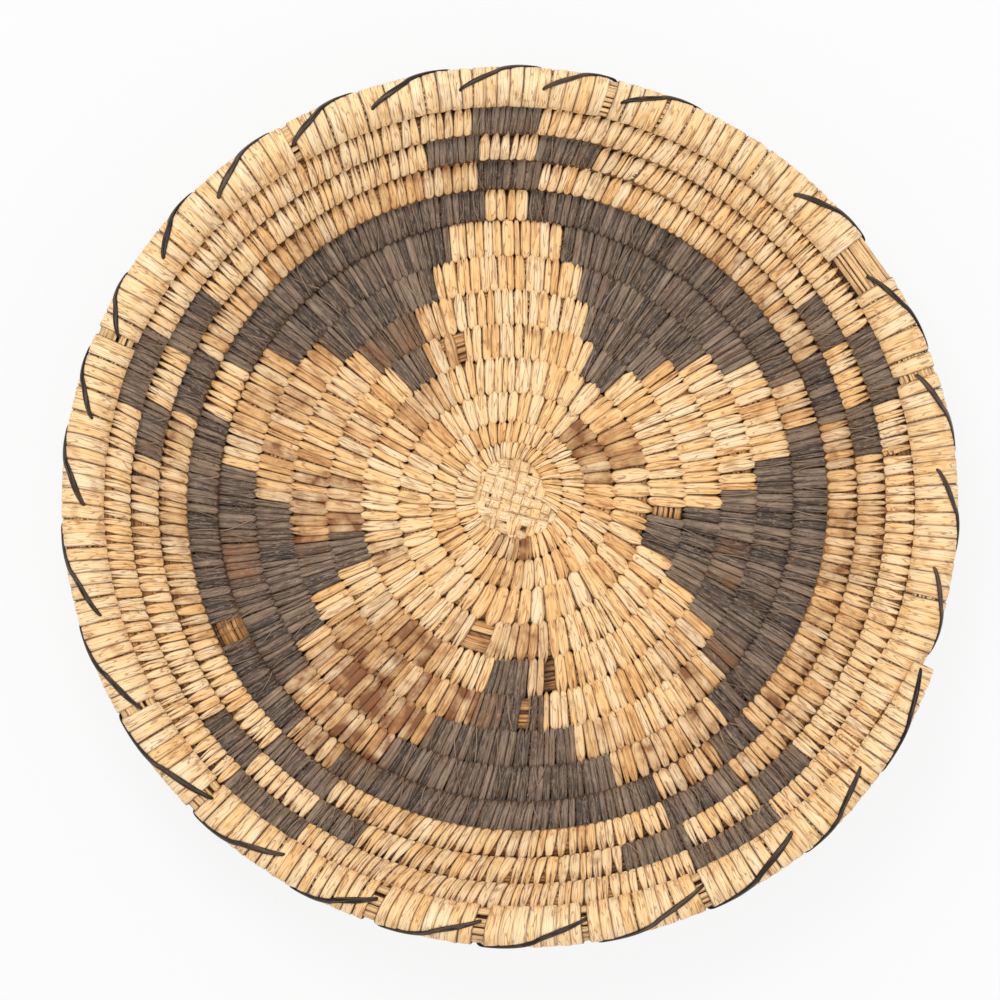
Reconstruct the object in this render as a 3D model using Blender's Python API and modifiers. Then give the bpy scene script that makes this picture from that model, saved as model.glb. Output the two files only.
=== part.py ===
"""Coiled basket tray: a plaited start, one spiral grass coil, its sewing and a laced rim.

The tray is one bundle of grass wound outward as a spiral. Flat splints are sewn round it,
so each length of sewing is a sleeve on the coil, and each row's stitches catch the row below.
Clock angles are read clockwise from the top of the tray as it is seen from above.
Row numbers count the rows outward, and fall by one each time the clock passes the top.
"""

import math

import bmesh
import bpy
from mathutils import Vector

# Sizes of the coil and its sewing, in metres
START_RADIUS = 0.0115
ROW_WIDTHS = (
    0.0061, 0.0073, 0.0102, 0.0114, 0.0112, 0.0116, 0.0111,
    0.0115, 0.0114, 0.0113, 0.0115, 0.0117, 0.0117,
)
WALL_SLOPES = (0, 0, 0, 0, 0, 0, 0, 5, 22, 35, 40, 40, 50)  # degrees, one for each width
COIL_HEIGHT = 0.008
START_COIL_HEIGHT = 0.006
FULL_HEIGHT_TURN = 4
SEWING_WALL = 0.0009
SEWING_SIDE_WALL = 0.0016
ROW_GAP = 0.0003
BUNDLE_CLEARANCE = 0.0003
BUNDLE_SIDE_CLEARANCE = 0.00045
END_GAP = 0.0002
CATCH_DEPTH = 0.00085

# The rim coil, which is the last turn
RIM_WIDTH = 0.012
RIM_HEIGHT = 0.011
RIM_LEANS = ((12.67, 0.0066), (13.0, 0.0062), (13.7, 0.0040))  # turn, and reach beyond the wall
RIM_TAPER_DEGREES = 24
RIM_OVERLAP_DEGREES = 6.5
RIM_END_SIZE = 0.5

# The dark splint that laces the rim
SPLINT_WIDTH = 0.0019
SPLINT_THICKNESS = 0.0006
SPLINT_CLEARANCE = 0.0005

# The plaited start
PLAIT_THICKNESS = 0.0055
PLAIT_EDGE = 0.0008

# The rows drift off centre and turn slightly oval as the tray grows
DRIFT = Vector((0.0004, -0.0040))
DRIFT_TURNS = 4
OVAL = 0.0022
OVAL_TURNS = 13
OVAL_AXIS_DEGREES = -11.5

# The coil runs straight between stations: 24 a turn, and half as many in the first turns
STATIONS = 24
COARSE_TURNS = 3
CROWN = 0.5
BORE_CROWN = 0.3
COIL_START = 0.7
COIL_END_CLOCK = 118
LEAST_STEP = 0.0006
LEAST_RAMP = 0.0025
CATCH_MARGIN = 0.0004

# What is sewn in each row: a name and the clock angle where it ends, going clockwise.
# Rows one to four, and row five past its last mark, are the plain centre.
CENTRE = "centre_sewing"
DESIGN = {
    5: [("tan_petal_5", 27.8), ("dark_field_1", 39.7), ("tan_petal_1", 96),
        ("dark_field_2", 109.5), (CENTRE, 360)],
    6: [("tan_petal_5", 22), ("dark_field_1", 46.4), ("tan_petal_1", 92),
        ("dark_field_2", 116.4), ("tan_petal_2", 174.7), ("dark_field_3", 186.8),
        ("tan_petal_3", 248), ("dark_field_4", 258.5), ("tan_petal_4", 316.8),
        ("dark_field_5", 327.7), ("tan_petal_5", 360)],
    7: [("tan_petal_5", 17), ("dark_field_1", 51.6), ("tan_petal_1", 87),
        ("dark_field_2", 121.8), ("tan_petal_2", 171.4), ("dark_field_3", 190),
        ("tan_petal_3", 245.3), ("dark_field_4", 258), ("tan_petal_4", 313.8),
        ("dark_field_5", 331), ("tan_petal_5", 360)],
    8: [("tan_petal_5", 10.5), ("dark_field_1", 58.8), ("tan_petal_1", 80.5),
        ("dark_field_2", 128.5), ("tan_petal_2", 165.3), ("dark_field_3", 200),
        ("tan_petal_3", 237.3), ("dark_field_4", 269.5), ("tan_petal_4", 309),
        ("dark_field_5", 339.3), ("tan_petal_5", 360)],
    9: [("tan_petal_5", 2.5), ("dark_field_1", 66), ("tan_petal_1", 75),
        ("dark_field_2", 135.2), ("tan_petal_2", 159.5), ("dark_field_3", 206.8),
        ("tan_petal_3", 231.8), ("dark_field_4", 276.5), ("tan_petal_4", 302),
        ("dark_field_5", 345.2), ("tan_petal_5", 360)],
    10: [("diamond_5_lower", 4), ("border_sewing_1", 63.8), ("diamond_1_lower", 75.8),
         ("border_sewing_2", 132.8), ("diamond_2_spur", 141), ("tan_petal_2", 153.3),
         ("dark_field_3", 214.5), ("tan_petal_3", 224.5), ("dark_field_4", 285.5),
         ("tan_petal_4", 296), ("dark_field_5", 354), ("tan_petal_5", 360)],
    11: [("diamond_5_cell", 3.2), ("diamond_5_right", 12.8), ("border_sewing_1", 55.5),
         ("diamond_1_left", 64), ("diamond_1_cell", 74.3), ("diamond_1_right", 82.3),
         ("border_sewing_2", 140.8), ("diamond_2_lower", 154), ("border_sewing_3", 212.3),
         ("diamond_3_lower", 225.3), ("border_sewing_4", 284.3), ("diamond_4_lower", 295.5),
         ("border_sewing_5", 353.3), ("diamond_5_lower", 360)],
    12: [("diamond_5_upper", 3.3), ("border_sewing_1", 63.5), ("diamond_1_upper", 74.8),
         ("border_sewing_2", 131), ("diamond_2_left", 140.5), ("diamond_2_cell", 152.5),
         ("diamond_2_right", 162.8), ("border_sewing_3", 204.3), ("diamond_3_left", 213.3),
         ("diamond_3_cell", 225.5), ("diamond_3_right", 234.8), ("border_sewing_4", 276.5),
         ("diamond_4_left", 284.8), ("diamond_4_cell", 294.3), ("diamond_4_right", 304),
         ("border_sewing_5", 345.4), ("diamond_5_left", 354), ("diamond_5_cell", 360)],
    13: [(None, COIL_END_CLOCK), ("border_sewing_2", 139.8), ("diamond_2_upper", 153.5),
         ("border_sewing_3", 212.8), ("diamond_3_upper", 226), ("border_sewing_4", 283.8),
         ("diamond_4_upper", 295.3), ("border_sewing_5", 353.3), ("diamond_5_upper", 360)],
}

# Clock angles between which the rim's wrapping leaves the grass bare, going round the rim
RIM_WINDOWS = ((59, 52.5), (13.5, 12), (328.3, 327.2), (293, 292), (242, 241),
               (200, 197), (155, 153.5))

# Each lacing splint's stitches: the clock angle of the hole and of the outer edge
RIM_LACING = (
    ((127.5, 139.5), (140, 153.5), (154, 168.5), (170.5, 184), (185, 197.5)),
    ((199.5, 210), (213.5, 225.5), (226, 241), (241.5, 254), (255, 267)),
    ((270, 279.5), (281.5, 290), (293, 300.5), (305, 313.5), (316, 326)),
    ((328.5, 338), (340.2, 351), (352.5, 363), (364, 373), (375, 385)),
    ((42.3, 52.5), (57.5, 69), (72.5, 83), (85.5, 96), (98.8, 109.7)),
)
LAST_ROW = 13

TAN = ("tan_split_wood", (0.67, 0.47, 0.26), 0.55)
BORDER_TAN = ("tan_split_wood_border", (0.72, 0.51, 0.29), 0.55)
DARK = ("black_dyed_splint", (0.055, 0.045, 0.038), 0.5)
GRASS = ("brown_grass_bundle", (0.23, 0.14, 0.07), 0.8)
RIM_TAN = ("tan_split_wood_rim", (0.70, 0.50, 0.28), 0.5)


def turn(row, clock):
    """Distance along the spiral, in turns, at a row's clock angle."""
    return row - clock / 360


RIM_START = turn(LAST_ROW, COIL_END_CLOCK)
RIM_END = RIM_START + 1 + RIM_OVERLAP_DEGREES / 360


def mix(a, b, part):
    return a + (b - a) * part


def wall_knots():
    """Radius and rise of the wall between rows, at each half turn count of the profile."""
    knots = [(START_RADIUS, 0.0)]
    for width, slope in zip(ROW_WIDTHS, WALL_SLOPES):
        radius, rise = knots[-1]
        angle = math.radians(slope)
        knots.append((radius + width * math.cos(angle), rise + width * math.sin(angle)))
    return knots


KNOTS = wall_knots()


def half_height(turns):
    grown = (turns - COIL_START) / (FULL_HEIGHT_TURN - COIL_START)
    return mix(START_COIL_HEIGHT, COIL_HEIGHT, min(max(grown, 0), 1)) / 2


def direction(turns):
    angle = math.tau * (turns + 0.25)
    return Vector((math.cos(angle), math.sin(angle), 0))


def along(turns):
    angle = math.tau * (turns + 0.25)
    return Vector((-math.sin(angle), math.cos(angle), 0))


def drifted(turns, radius, facing):
    """Point on the ground at a radius from the drifting middle of the spiral."""
    drift = DRIFT * (1 - math.exp(-turns / DRIFT_TURNS))
    axis = math.radians(OVAL_AXIS_DEGREES)
    along_axis = facing.x * math.cos(axis) + facing.y * math.sin(axis)
    oval = OVAL * (turns / OVAL_TURNS) ** 2 * (2 * along_axis**2 - 1)
    return facing * (radius + oval) + Vector((drift.x, drift.y, 0))


def wall_size(profile):
    """Radius and rise of the wall between two rows."""
    place = profile - 0.5
    below = min(max(math.floor(place), 0), len(KNOTS) - 2)
    part = place - below
    radius = mix(KNOTS[below][0], KNOTS[below + 1][0], part)
    return radius, max(mix(KNOTS[below][1], KNOTS[below + 1][1], part), 0)


def wall_point(profile, facing):
    """Point of the wall between two rows, without the coil's own height."""
    radius, rise = wall_size(profile)
    return drifted(profile, radius, facing) + Vector((0, 0, rise))


class Section:
    """The coil's cross-section: its middle, its axes and its half sizes."""

    def __init__(self, middle, across, turns, half_width, half_height_):
        self.middle = middle
        self.across = across.normalized()
        self.up = self.across.cross(along(turns)).normalized()
        self.half_width = half_width
        self.half_height = half_height_


def row_section(turns):
    facing = direction(turns)
    inner = wall_point(turns - 0.5, facing)
    outer = wall_point(turns + 0.5, facing)
    tall = half_height(turns)
    middle = (inner + outer) / 2 + Vector((0, 0, tall))
    wide = (outer - inner).length / 2 - ROW_GAP / 2
    return Section(middle, outer - inner, turns, wide, tall)


def rim_radius(turns):
    """Radius of the rim's middle, which leans out of the row below."""
    first, second = RIM_LEANS[:2] if turns < RIM_LEANS[1][0] else RIM_LEANS[1:]
    lean = mix(first[1], second[1], (turns - first[0]) / (second[0] - first[0]))
    return wall_size(turns - 0.5)[0] + lean


def rim_section(turns):
    """The rim rests on the row below, with room between them for the lacing splint.

    Its tapered end rests on its own beginning.
    """
    below = section(turns - 1)
    left = (RIM_END - turns) * 360 / RIM_TAPER_DEGREES
    size = mix(RIM_END_SIZE, 1, min(max(left, 0), 1))
    wide = RIM_WIDTH / 2 * size
    middle = drifted(turns, rim_radius(turns), direction(turns))
    level = Vector((middle.x - below.middle.x, middle.y - below.middle.y)).length
    room = SPLINT_THICKNESS + 2 * SPLINT_CLEARANCE
    reach = below.half_width + room + wide
    middle.z = below.middle.z + math.sqrt(max(reach**2 - level**2, 0))
    return Section(middle, middle - below.middle, turns, wide, RIM_HEIGHT / 2 * size)


def section(turns):
    return row_section(turns) if turns < RIM_START else rim_section(turns)


def polygon(place, sides, width, height, crown=CROWN):
    """Ring of points: six with flat top and bottom and pointed sides, or eight."""
    if sides == 6:
        flat = width * crown
        spots = ((width, 0), (flat, height), (-flat, height),
                 (-width, 0), (-flat, -height), (flat, -height))
    else:
        corner = math.tan(math.pi / sides)
        spots = ((1, corner), (corner, 1), (-corner, 1), (-1, corner),
                 (-1, -corner), (-corner, -1), (corner, -1), (1, -corner))
        spots = [(x * width, y * height) for x, y in spots]
    return [place.middle + place.across * x + place.up * y for x, y in spots]


def on_chord(shape, turns):
    """A ring anywhere along the coil, which runs straight between its stations."""
    place = turns * STATIONS
    before = math.floor(place + 1e-6)
    first = shape(section(before / STATIONS))
    part = place - before
    if part < 1e-6:
        return first
    second = shape(section((before + 1) / STATIONS))
    return [a.lerp(b, part) for a, b in zip(first, second)]


def sewing_ring(caught, sides):
    def shape(place):
        ring = polygon(place, sides, place.half_width, place.half_height)
        if caught:
            ring[3] -= place.across * (ROW_GAP + CATCH_DEPTH)
        return ring
    return shape


def bore_ring(sides):
    def shape(place):
        wide = place.half_width - SEWING_SIDE_WALL
        tall = place.half_height - SEWING_WALL
        crown = BORE_CROWN * place.half_width / wide
        return polygon(place, sides, wide, tall, crown)
    return shape


def bundle_ring(place):
    wide = place.half_width - SEWING_SIDE_WALL - BUNDLE_SIDE_CLEARANCE
    tall = place.half_height - SEWING_WALL - BUNDLE_CLEARANCE
    crown = (BORE_CROWN * place.half_width - BUNDLE_CLEARANCE / 2) / wide
    return polygon(place, 6, wide, tall, crown)


def lacing_ring(clearance):
    def shape(place):
        wide = place.half_width + clearance
        tall = place.half_height + clearance
        return polygon(place, 8, wide, tall)
    return shape


def turns_for(length, turns):
    """A length along the coil, as a part of a turn."""
    return length / (math.tau * wall_point(turns, Vector((1, 0, 0))).length)


def mesh_object(name, work, collection):
    bmesh.ops.recalc_face_normals(work, faces=work.faces)
    mesh = bpy.data.meshes.new(name)
    work.to_mesh(mesh)
    work.free()
    made = bpy.data.objects.new(name, mesh)
    collection.objects.link(made)
    return made


def join_rings(work, rings):
    """Skin the rings of vertices one after another."""
    for first, second in zip(rings, rings[1:]):
        for i in range(len(first)):
            j = (i + 1) % len(first)
            work.faces.new((first[i], first[j], second[j], second[i]))


def loft(name, outer, bore, collection):
    """A body through the outer rings, hollow along the bore rings when there are any."""
    work = bmesh.new()
    skins = [[work.verts.new(point) for point in ring] for ring in outer]
    join_rings(work, skins)
    if bore:
        holes = [[work.verts.new(point) for point in ring] for ring in bore]
        join_rings(work, holes)
        join_rings(work, (skins[0], holes[0]))
        join_rings(work, (skins[-1], holes[-1]))
    else:
        work.faces.new(skins[0])
        work.faces.new(skins[-1])
    return mesh_object(name, work, collection)


def stations_between(first, last):
    """The coil's stations strictly inside a run, clear of its ends."""
    low = math.ceil((first + turns_for(LEAST_STEP, first)) * STATIONS)
    high = math.floor((last - turns_for(LEAST_STEP, last)) * STATIONS)
    coarse = COARSE_TURNS * STATIONS
    return [i / STATIONS for i in range(low, high + 1) if i >= coarse or i % 2 == 0]


def caught_stations(run, runs):
    """Each station of a run, with whether its stitches catch the same sewing one row in."""
    name, first, last = run
    marks = {place: False for place in stations_between(first, last)}
    marks[first] = marks[last] = False
    margin = turns_for(CATCH_MARGIN, first)
    ramp = turns_for(LEAST_RAMP, first)
    for other, start, end in runs:
        if other != name or start == first:
            continue
        low, high = max(first, start + 1), min(last, end + 1)
        if high - low < 2 * ramp:
            continue
        from_start = start + 1 < first - margin
        to_end = end + 1 > last + margin
        low += 0 if from_start else margin
        high -= 0 if to_end else margin
        inside = [place for place in marks if low + ramp < place < high - ramp]
        if not inside:
            inside = [(low + high) / 2]
        for place in inside:
            marks[place] = True
        for place, free in ((low, from_start), (high, to_end)):
            if free:
                marks[place] = True
            elif all(abs(place - mark) > ramp for mark in marks):
                marks[place] = False
    return sorted(marks.items())


def sleeve(name, run, runs, sides, collection):
    marks = caught_stations(run, runs)
    outer = [on_chord(sewing_ring(caught, sides), place) for place, caught in marks]
    bore = [on_chord(bore_ring(sides), place) for place, _ in marks]
    return loft(name, outer, bore, collection)


def design_runs():
    """The lengths of sewing along the coil, as name, first turn and last turn."""
    pieces = []
    for row, marks in DESIGN.items():
        clock = 0
        for name, end in marks:
            pieces.append([name, turn(row, end), turn(row, clock)])
            clock = end
    pieces.append([CENTRE, COIL_START, turn(4, 0)])
    pieces = sorted((piece for piece in pieces if piece[0]), key=lambda piece: piece[1])
    runs = [pieces[0]]
    for piece in pieces[1:]:
        if piece[0] == runs[-1][0] and abs(piece[1] - runs[-1][2]) < 1e-9:
            runs[-1][2] = piece[2]
        else:
            runs.append(piece)
    return [trimmed(run) for run in runs]


def trimmed(run):
    """A run drawn in at both ends, so that it clears the next one."""
    name, first, last = run
    return name, first + turns_for(END_GAP, first), last - turns_for(END_GAP, last)


def rim_runs():
    """The rim's lengths of wrapping, from its start to the coil's end."""
    edges = [RIM_START]
    for near, far in RIM_WINDOWS:
        row = LAST_ROW if near < COIL_END_CLOCK else LAST_ROW + 1
        edges += [turn(row, near), turn(row, far)]
    edges.append(RIM_END)
    pairs = zip(edges[::2], edges[1::2])
    return [trimmed((f"rim_wrap_{i}", a, b)) for i, (a, b) in enumerate(pairs, 1)]


def united(name, bodies):
    """One object from the runs of a name, joined where their stitches catch."""
    whole = bodies[0]
    whole.name = name
    for body in bodies[1:]:
        body.display_type = "WIRE"
        body.hide_render = True
        join = whole.modifiers.new("caught", "BOOLEAN")
        join.operation = "UNION"
        join.solver = "EXACT"
        join.object = body
    return whole


def foundation(collection):
    places = [COIL_START + turns_for(END_GAP, COIL_START)]
    places += stations_between(COIL_START, RIM_END)
    places.append(RIM_END - turns_for(END_GAP, RIM_END))
    rings = [on_chord(bundle_ring, place) for place in places]
    print(f"least gap of the coil to itself {least_gap(rings, STATIONS) * 1000:.2f} mm")
    return loft("foundation_coil", rings, None, collection)


def least_gap(rings, loop):
    """Least distance between points of a tube that are half a loop or more apart."""
    points = [(i, point) for i, ring in enumerate(rings) for point in ring]
    least = math.inf
    for i, point in points:
        for far in range(i + loop // 2, min(i + 2 * loop, len(rings))):
            least = min(least, min((point - other).length for other in rings[far]))
    return least


def lacing_path(row, stitches):
    """Turns and corner of the rim's eight-sided section for each bend of a splint.

    The corners count down as the splint winds on, so 3, -5 and -13 are the same corner.
    """
    path = []
    for i, (hole, edge) in enumerate(stitches):
        last = i + 1 == len(stitches)
        leave = edge if last else stitches[i + 1][0]
        clocks = [mix(hole, edge, step / 5) for step in range(6)]
        clocks += [mix(edge, leave, part / 3) for part in ((1,) if last else (1, 2))]
        path += [(turn(row, clock), 3 - 8 * i - step) for step, clock in enumerate(clocks)]
    return with_bends(path)


def with_bends(path):
    """A path with one more bend wherever the coil under it bends."""
    bent = []
    for (place, corner), (end, last_corner) in zip(path, path[1:]):
        bent.append((place, corner))
        for station in reversed(stations_between(end, place)):
            part = (place - station) / (place - end)
            bent.append((station, mix(corner, last_corner, part)))
    return [*bent, path[-1]]


def ring_point(ring, corner):
    """Point of a ring at a corner, or part of the way from one corner to the next."""
    first = math.floor(corner)
    sides = len(ring)
    return ring[first % sides].lerp(ring[(first + 1) % sides], corner - first)


def lacing(name, stitches, collection):
    """A flat splint wound round the rim, one loop for each stitch."""
    row = LAST_ROW if stitches[0][0] < COIL_END_CLOCK else LAST_ROW + 1
    thick = SPLINT_CLEARANCE + SPLINT_THICKNESS
    path = lacing_path(row, stitches)
    low, high = (
        [ring_point(on_chord(lacing_ring(room), place), corner) for place, corner in path]
        for room in (SPLINT_CLEARANCE, thick)
    )
    rings = []
    for i, (under, over) in enumerate(zip(low, high)):
        ahead = low[min(i + 1, len(low) - 1)] - low[max(i - 1, 0)]
        side = ahead.cross(over - under).normalized() * (SPLINT_WIDTH / 2)
        rings.append([under - side, under + side, over + side, over - side])
    print(f"least gap of {name} to itself {least_gap(rings, 8) * 1000:.2f} mm")
    return loft(name, rings, None, collection)


def start_plait(collection):
    """The plaited start, whose outline is the spiral that the first row follows."""
    outline = []
    for turns in [COIL_START, *stations_between(COIL_START, COIL_START + 1), COIL_START + 1]:
        inner = wall_point(turns - 0.5, direction(turns))
        outline.append(inner * (1 - ROW_GAP / inner.length))
    outline[0] -= along(COIL_START) * ROW_GAP * 2
    outline[-1] -= along(COIL_START) * ROW_GAP * 2
    work = bmesh.new()
    face = work.faces.new([work.verts.new(point) for point in outline])
    raised = bmesh.ops.extrude_face_region(work, geom=[face])
    top = [item for item in raised["geom"] if isinstance(item, bmesh.types.BMVert)]
    bmesh.ops.translate(work, verts=top, vec=Vector((0, 0, PLAIT_THICKNESS)))
    plate = mesh_object("start_plait", work, collection)
    edge = plate.modifiers.new("worn edge", "BEVEL")
    edge.width = PLAIT_EDGE
    edge.segments = 1
    edge.limit_method = "ANGLE"
    edge.angle_limit = math.radians(60)
    return plate


def material(look):
    name, colour, roughness = look
    made = bpy.data.materials.get(name)
    if made:
        return made
    made = bpy.data.materials.new(name)
    made.use_nodes = True
    shader = made.node_tree.nodes["Principled BSDF"]
    shader.inputs["Base Color"].default_value = (*colour, 1)
    shader.inputs["Roughness"].default_value = roughness
    made.diffuse_color = (*colour, 1)
    return made


def look_of(name):
    if name.startswith("dark_field") or name.startswith("rim_lacing"):
        return DARK
    if name.startswith("diamond"):
        return BORDER_TAN if name.endswith("cell") else DARK
    if name.startswith("border"):
        return BORDER_TAN
    return RIM_TAN if name.startswith("rim_wrap") else TAN


def clear_scene():
    for item in list(bpy.data.objects):
        bpy.data.objects.remove(item)


def new_collection(name):
    made = bpy.data.collections.new(name)
    bpy.context.scene.collection.children.link(made)
    return made


def build():
    clear_scene()
    tray = new_collection("basket_tray")
    caught = new_collection("caught_rows")
    start_plait(tray).data.materials.append(material(TAN))
    foundation(tray).data.materials.append(material(GRASS))
    runs = design_runs()
    for name in dict.fromkeys(run[0] for run in runs):
        bodies = []
        for run in [run for run in runs if run[0] == name]:
            home = caught if bodies else tray
            bodies.append(sleeve(f"{name}_row_{len(bodies)}", run, runs, 6, home))
        united(name, bodies).data.materials.append(material(look_of(name)))
    for run in rim_runs():
        wrap = sleeve(run[0], run, (), 8, tray)
        wrap.data.materials.append(material(look_of(run[0])))
    for i, stitches in enumerate(RIM_LACING, 1):
        splint = lacing(f"rim_lacing_{i}", stitches, tray)
        splint.data.materials.append(material(DARK))


build()
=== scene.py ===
"""Looks of a coiled basket tray: every stitch, straw and splint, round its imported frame.

The tray is one bundle of dry grass wound outward as a spiral and sewn with flat splints.
Each stitch catches the tip of a stitch in the row below.
Clock angles are read clockwise from the top of the tray as it is seen from above.
Row numbers count outward, and fall by one each time the clock passes the top.
A place on the coil is its distance along the spiral in turns, counter-clockwise.
"""

import functools
import math
from collections import namedtuple

import bpy
import numpy as np
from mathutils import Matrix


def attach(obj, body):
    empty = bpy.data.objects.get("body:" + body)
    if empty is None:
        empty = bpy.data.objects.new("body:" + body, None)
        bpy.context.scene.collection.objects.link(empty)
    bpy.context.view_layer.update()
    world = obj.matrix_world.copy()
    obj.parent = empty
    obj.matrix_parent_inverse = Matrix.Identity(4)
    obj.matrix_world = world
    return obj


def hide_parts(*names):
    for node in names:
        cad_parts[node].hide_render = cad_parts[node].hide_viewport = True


bl_info = {
    "name": "Coiled basket tray",
    "version": (1, 0, 0),
    "blender": (4, 5, 0),
    "location": "View3D > Sidebar > Basket tray",
    "description": "Builds the stitches, straws and splints of a coiled basket tray",
    "category": "Object",
}

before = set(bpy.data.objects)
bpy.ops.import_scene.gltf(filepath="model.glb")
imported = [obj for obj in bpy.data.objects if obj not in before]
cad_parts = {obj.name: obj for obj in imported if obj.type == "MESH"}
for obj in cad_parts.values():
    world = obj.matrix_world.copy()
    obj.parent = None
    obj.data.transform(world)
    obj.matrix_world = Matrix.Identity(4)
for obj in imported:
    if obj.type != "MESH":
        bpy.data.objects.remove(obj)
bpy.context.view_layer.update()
MM = 0.001

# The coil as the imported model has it, in metres, turns and degrees
START_RADIUS = 0.0115
ROW_WIDTHS = (
    0.0061, 0.0073, 0.0102, 0.0114, 0.0112, 0.0116, 0.0111,
    0.0115, 0.0114, 0.0113, 0.0115, 0.0117, 0.0117,
)
WALL_SLOPES = (0, 0, 0, 0, 0, 0, 0, 5, 22, 35, 40, 40, 50)
COIL_HEIGHT = 0.008
START_COIL_HEIGHT = 0.006
FULL_HEIGHT_TURN = 4
ROW_GAP = 0.0003
RIM_WIDTH = 0.012
RIM_HEIGHT = 0.011
RIM_LEANS = ((12.67, 0.0066), (13.0, 0.0062), (13.7, 0.0040))  # turn, reach beyond the wall
RIM_ROOM = 0.0016  # for the lacing, between the rim and the row below
RIM_TAPER_TURNS = 24 / 360
RIM_OVERLAP_TURNS = 6.5 / 360
RIM_END_SIZE = 0.5
DRIFT = np.array((0.0004, -0.0040))
DRIFT_TURNS = 4
OVAL = 0.0022
OVAL_TURNS = 13
OVAL_AXIS = math.radians(-11.5)
COIL_START = 0.7
COIL_END_CLOCK = 118
LAST_ROW = 13
RIM_START = LAST_ROW - COIL_END_CLOCK / 360
RIM_END = RIM_START + 1 + RIM_OVERLAP_TURNS
RIM_BLEND_TURNS = 0.03

# What is sewn in each row: a name and the clock angle where it ends, going clockwise
CENTRE = "centre_sewing"
DESIGN = {
    5: [("tan_petal_5", 27.8), ("dark_field_1", 39.7), ("tan_petal_1", 96),
        ("dark_field_2", 109.5), (CENTRE, 360)],
    6: [("tan_petal_5", 22), ("dark_field_1", 46.4), ("tan_petal_1", 92),
        ("dark_field_2", 116.4), ("tan_petal_2", 174.7), ("dark_field_3", 186.8),
        ("tan_petal_3", 248), ("dark_field_4", 258.5), ("tan_petal_4", 316.8),
        ("dark_field_5", 327.7), ("tan_petal_5", 360)],
    7: [("tan_petal_5", 17), ("dark_field_1", 51.6), ("tan_petal_1", 87),
        ("dark_field_2", 121.8), ("tan_petal_2", 171.4), ("dark_field_3", 190),
        ("tan_petal_3", 245.3), ("dark_field_4", 258), ("tan_petal_4", 313.8),
        ("dark_field_5", 331), ("tan_petal_5", 360)],
    8: [("tan_petal_5", 10.5), ("dark_field_1", 58.8), ("tan_petal_1", 80.5),
        ("dark_field_2", 128.5), ("tan_petal_2", 165.3), ("dark_field_3", 200),
        ("tan_petal_3", 237.3), ("dark_field_4", 269.5), ("tan_petal_4", 309),
        ("dark_field_5", 339.3), ("tan_petal_5", 360)],
    9: [("tan_petal_5", 2.5), ("dark_field_1", 66), ("tan_petal_1", 75),
        ("dark_field_2", 135.2), ("tan_petal_2", 159.5), ("dark_field_3", 206.8),
        ("tan_petal_3", 231.8), ("dark_field_4", 276.5), ("tan_petal_4", 302),
        ("dark_field_5", 345.2), ("tan_petal_5", 360)],
    10: [("diamond_5_lower", 4), ("border_sewing_1", 63.8), ("diamond_1_lower", 75.8),
         ("border_sewing_2", 132.8), ("diamond_2_spur", 141), ("tan_petal_2", 153.3),
         ("dark_field_3", 214.5), ("tan_petal_3", 224.5), ("dark_field_4", 285.5),
         ("tan_petal_4", 296), ("dark_field_5", 354), ("tan_petal_5", 360)],
    11: [("diamond_5_cell", 3.2), ("diamond_5_right", 12.8), ("border_sewing_1", 55.5),
         ("diamond_1_left", 64), ("diamond_1_cell", 74.3), ("diamond_1_right", 82.3),
         ("border_sewing_2", 140.8), ("diamond_2_lower", 154), ("border_sewing_3", 212.3),
         ("diamond_3_lower", 225.3), ("border_sewing_4", 284.3), ("diamond_4_lower", 295.5),
         ("border_sewing_5", 353.3), ("diamond_5_lower", 360)],
    12: [("diamond_5_upper", 3.3), ("border_sewing_1", 63.5), ("diamond_1_upper", 74.8),
         ("border_sewing_2", 131), ("diamond_2_left", 140.5), ("diamond_2_cell", 152.5),
         ("diamond_2_right", 162.8), ("border_sewing_3", 204.3), ("diamond_3_left", 213.3),
         ("diamond_3_cell", 225.5), ("diamond_3_right", 234.8), ("border_sewing_4", 276.5),
         ("diamond_4_left", 284.8), ("diamond_4_cell", 294.3), ("diamond_4_right", 304),
         ("border_sewing_5", 345.4), ("diamond_5_left", 354), ("diamond_5_cell", 360)],
    13: [(None, COIL_END_CLOCK), ("border_sewing_2", 139.8), ("diamond_2_upper", 153.5),
         ("border_sewing_3", 212.8), ("diamond_3_upper", 226), ("border_sewing_4", 283.8),
         ("diamond_4_upper", 295.3), ("border_sewing_5", 353.3), ("diamond_5_upper", 360)],
}

# Where stitches are worn away and the grass shows: row and clock angles
BARE = (
    (4, 107.5, 109.2), (5, 91.7, 96), (5, 189, 198), (6, 118, 120), (6, 166.5, 169),
    (6, 336.5, 340), (7, 175.5, 178.5), (10, 244, 247),
)
# The same on the rim, most of it at the holes that its lacing passes through
RIM_BARE = (
    (12, 13.2), (52.5, 59), (71.8, 73), (153.7, 154.8), (169.8, 170.7), (183.2, 184.8),
    (197.7, 199.3), (226.2, 227.4), (241, 241.9), (292, 292.9), (327.4, 328.4),
)
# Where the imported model's lengths of rim wrapping meet: clock angles of each gap
RIM_WINDOWS = (
    (59, 52.5), (13.5, 12), (328.3, 327.2), (293, 292), (242, 241), (200, 197), (155, 153.5),
)
# Lacing: the clock angle of each stitch's hole and of its far end at the rim's edge
RIM_LACING = (
    ((127.5, 139.5), (140, 153.5), (154, 168.5), (170.5, 184), (185, 197.5)),
    ((199.5, 210), (213.5, 225.5), (226, 241), (241.5, 254), (255, 267)),
    ((270, 279.5), (281.5, 290), (293, 300.5), (305, 313.5), (316, 326)),
    ((328.5, 338), (340.2, 351), (352.5, 363), (364, 373), (375, 385)),
    ((42.3, 52.5), (57.5, 69), (72.5, 83), (85.5, 96), (98.8, 109.7)),
)
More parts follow.
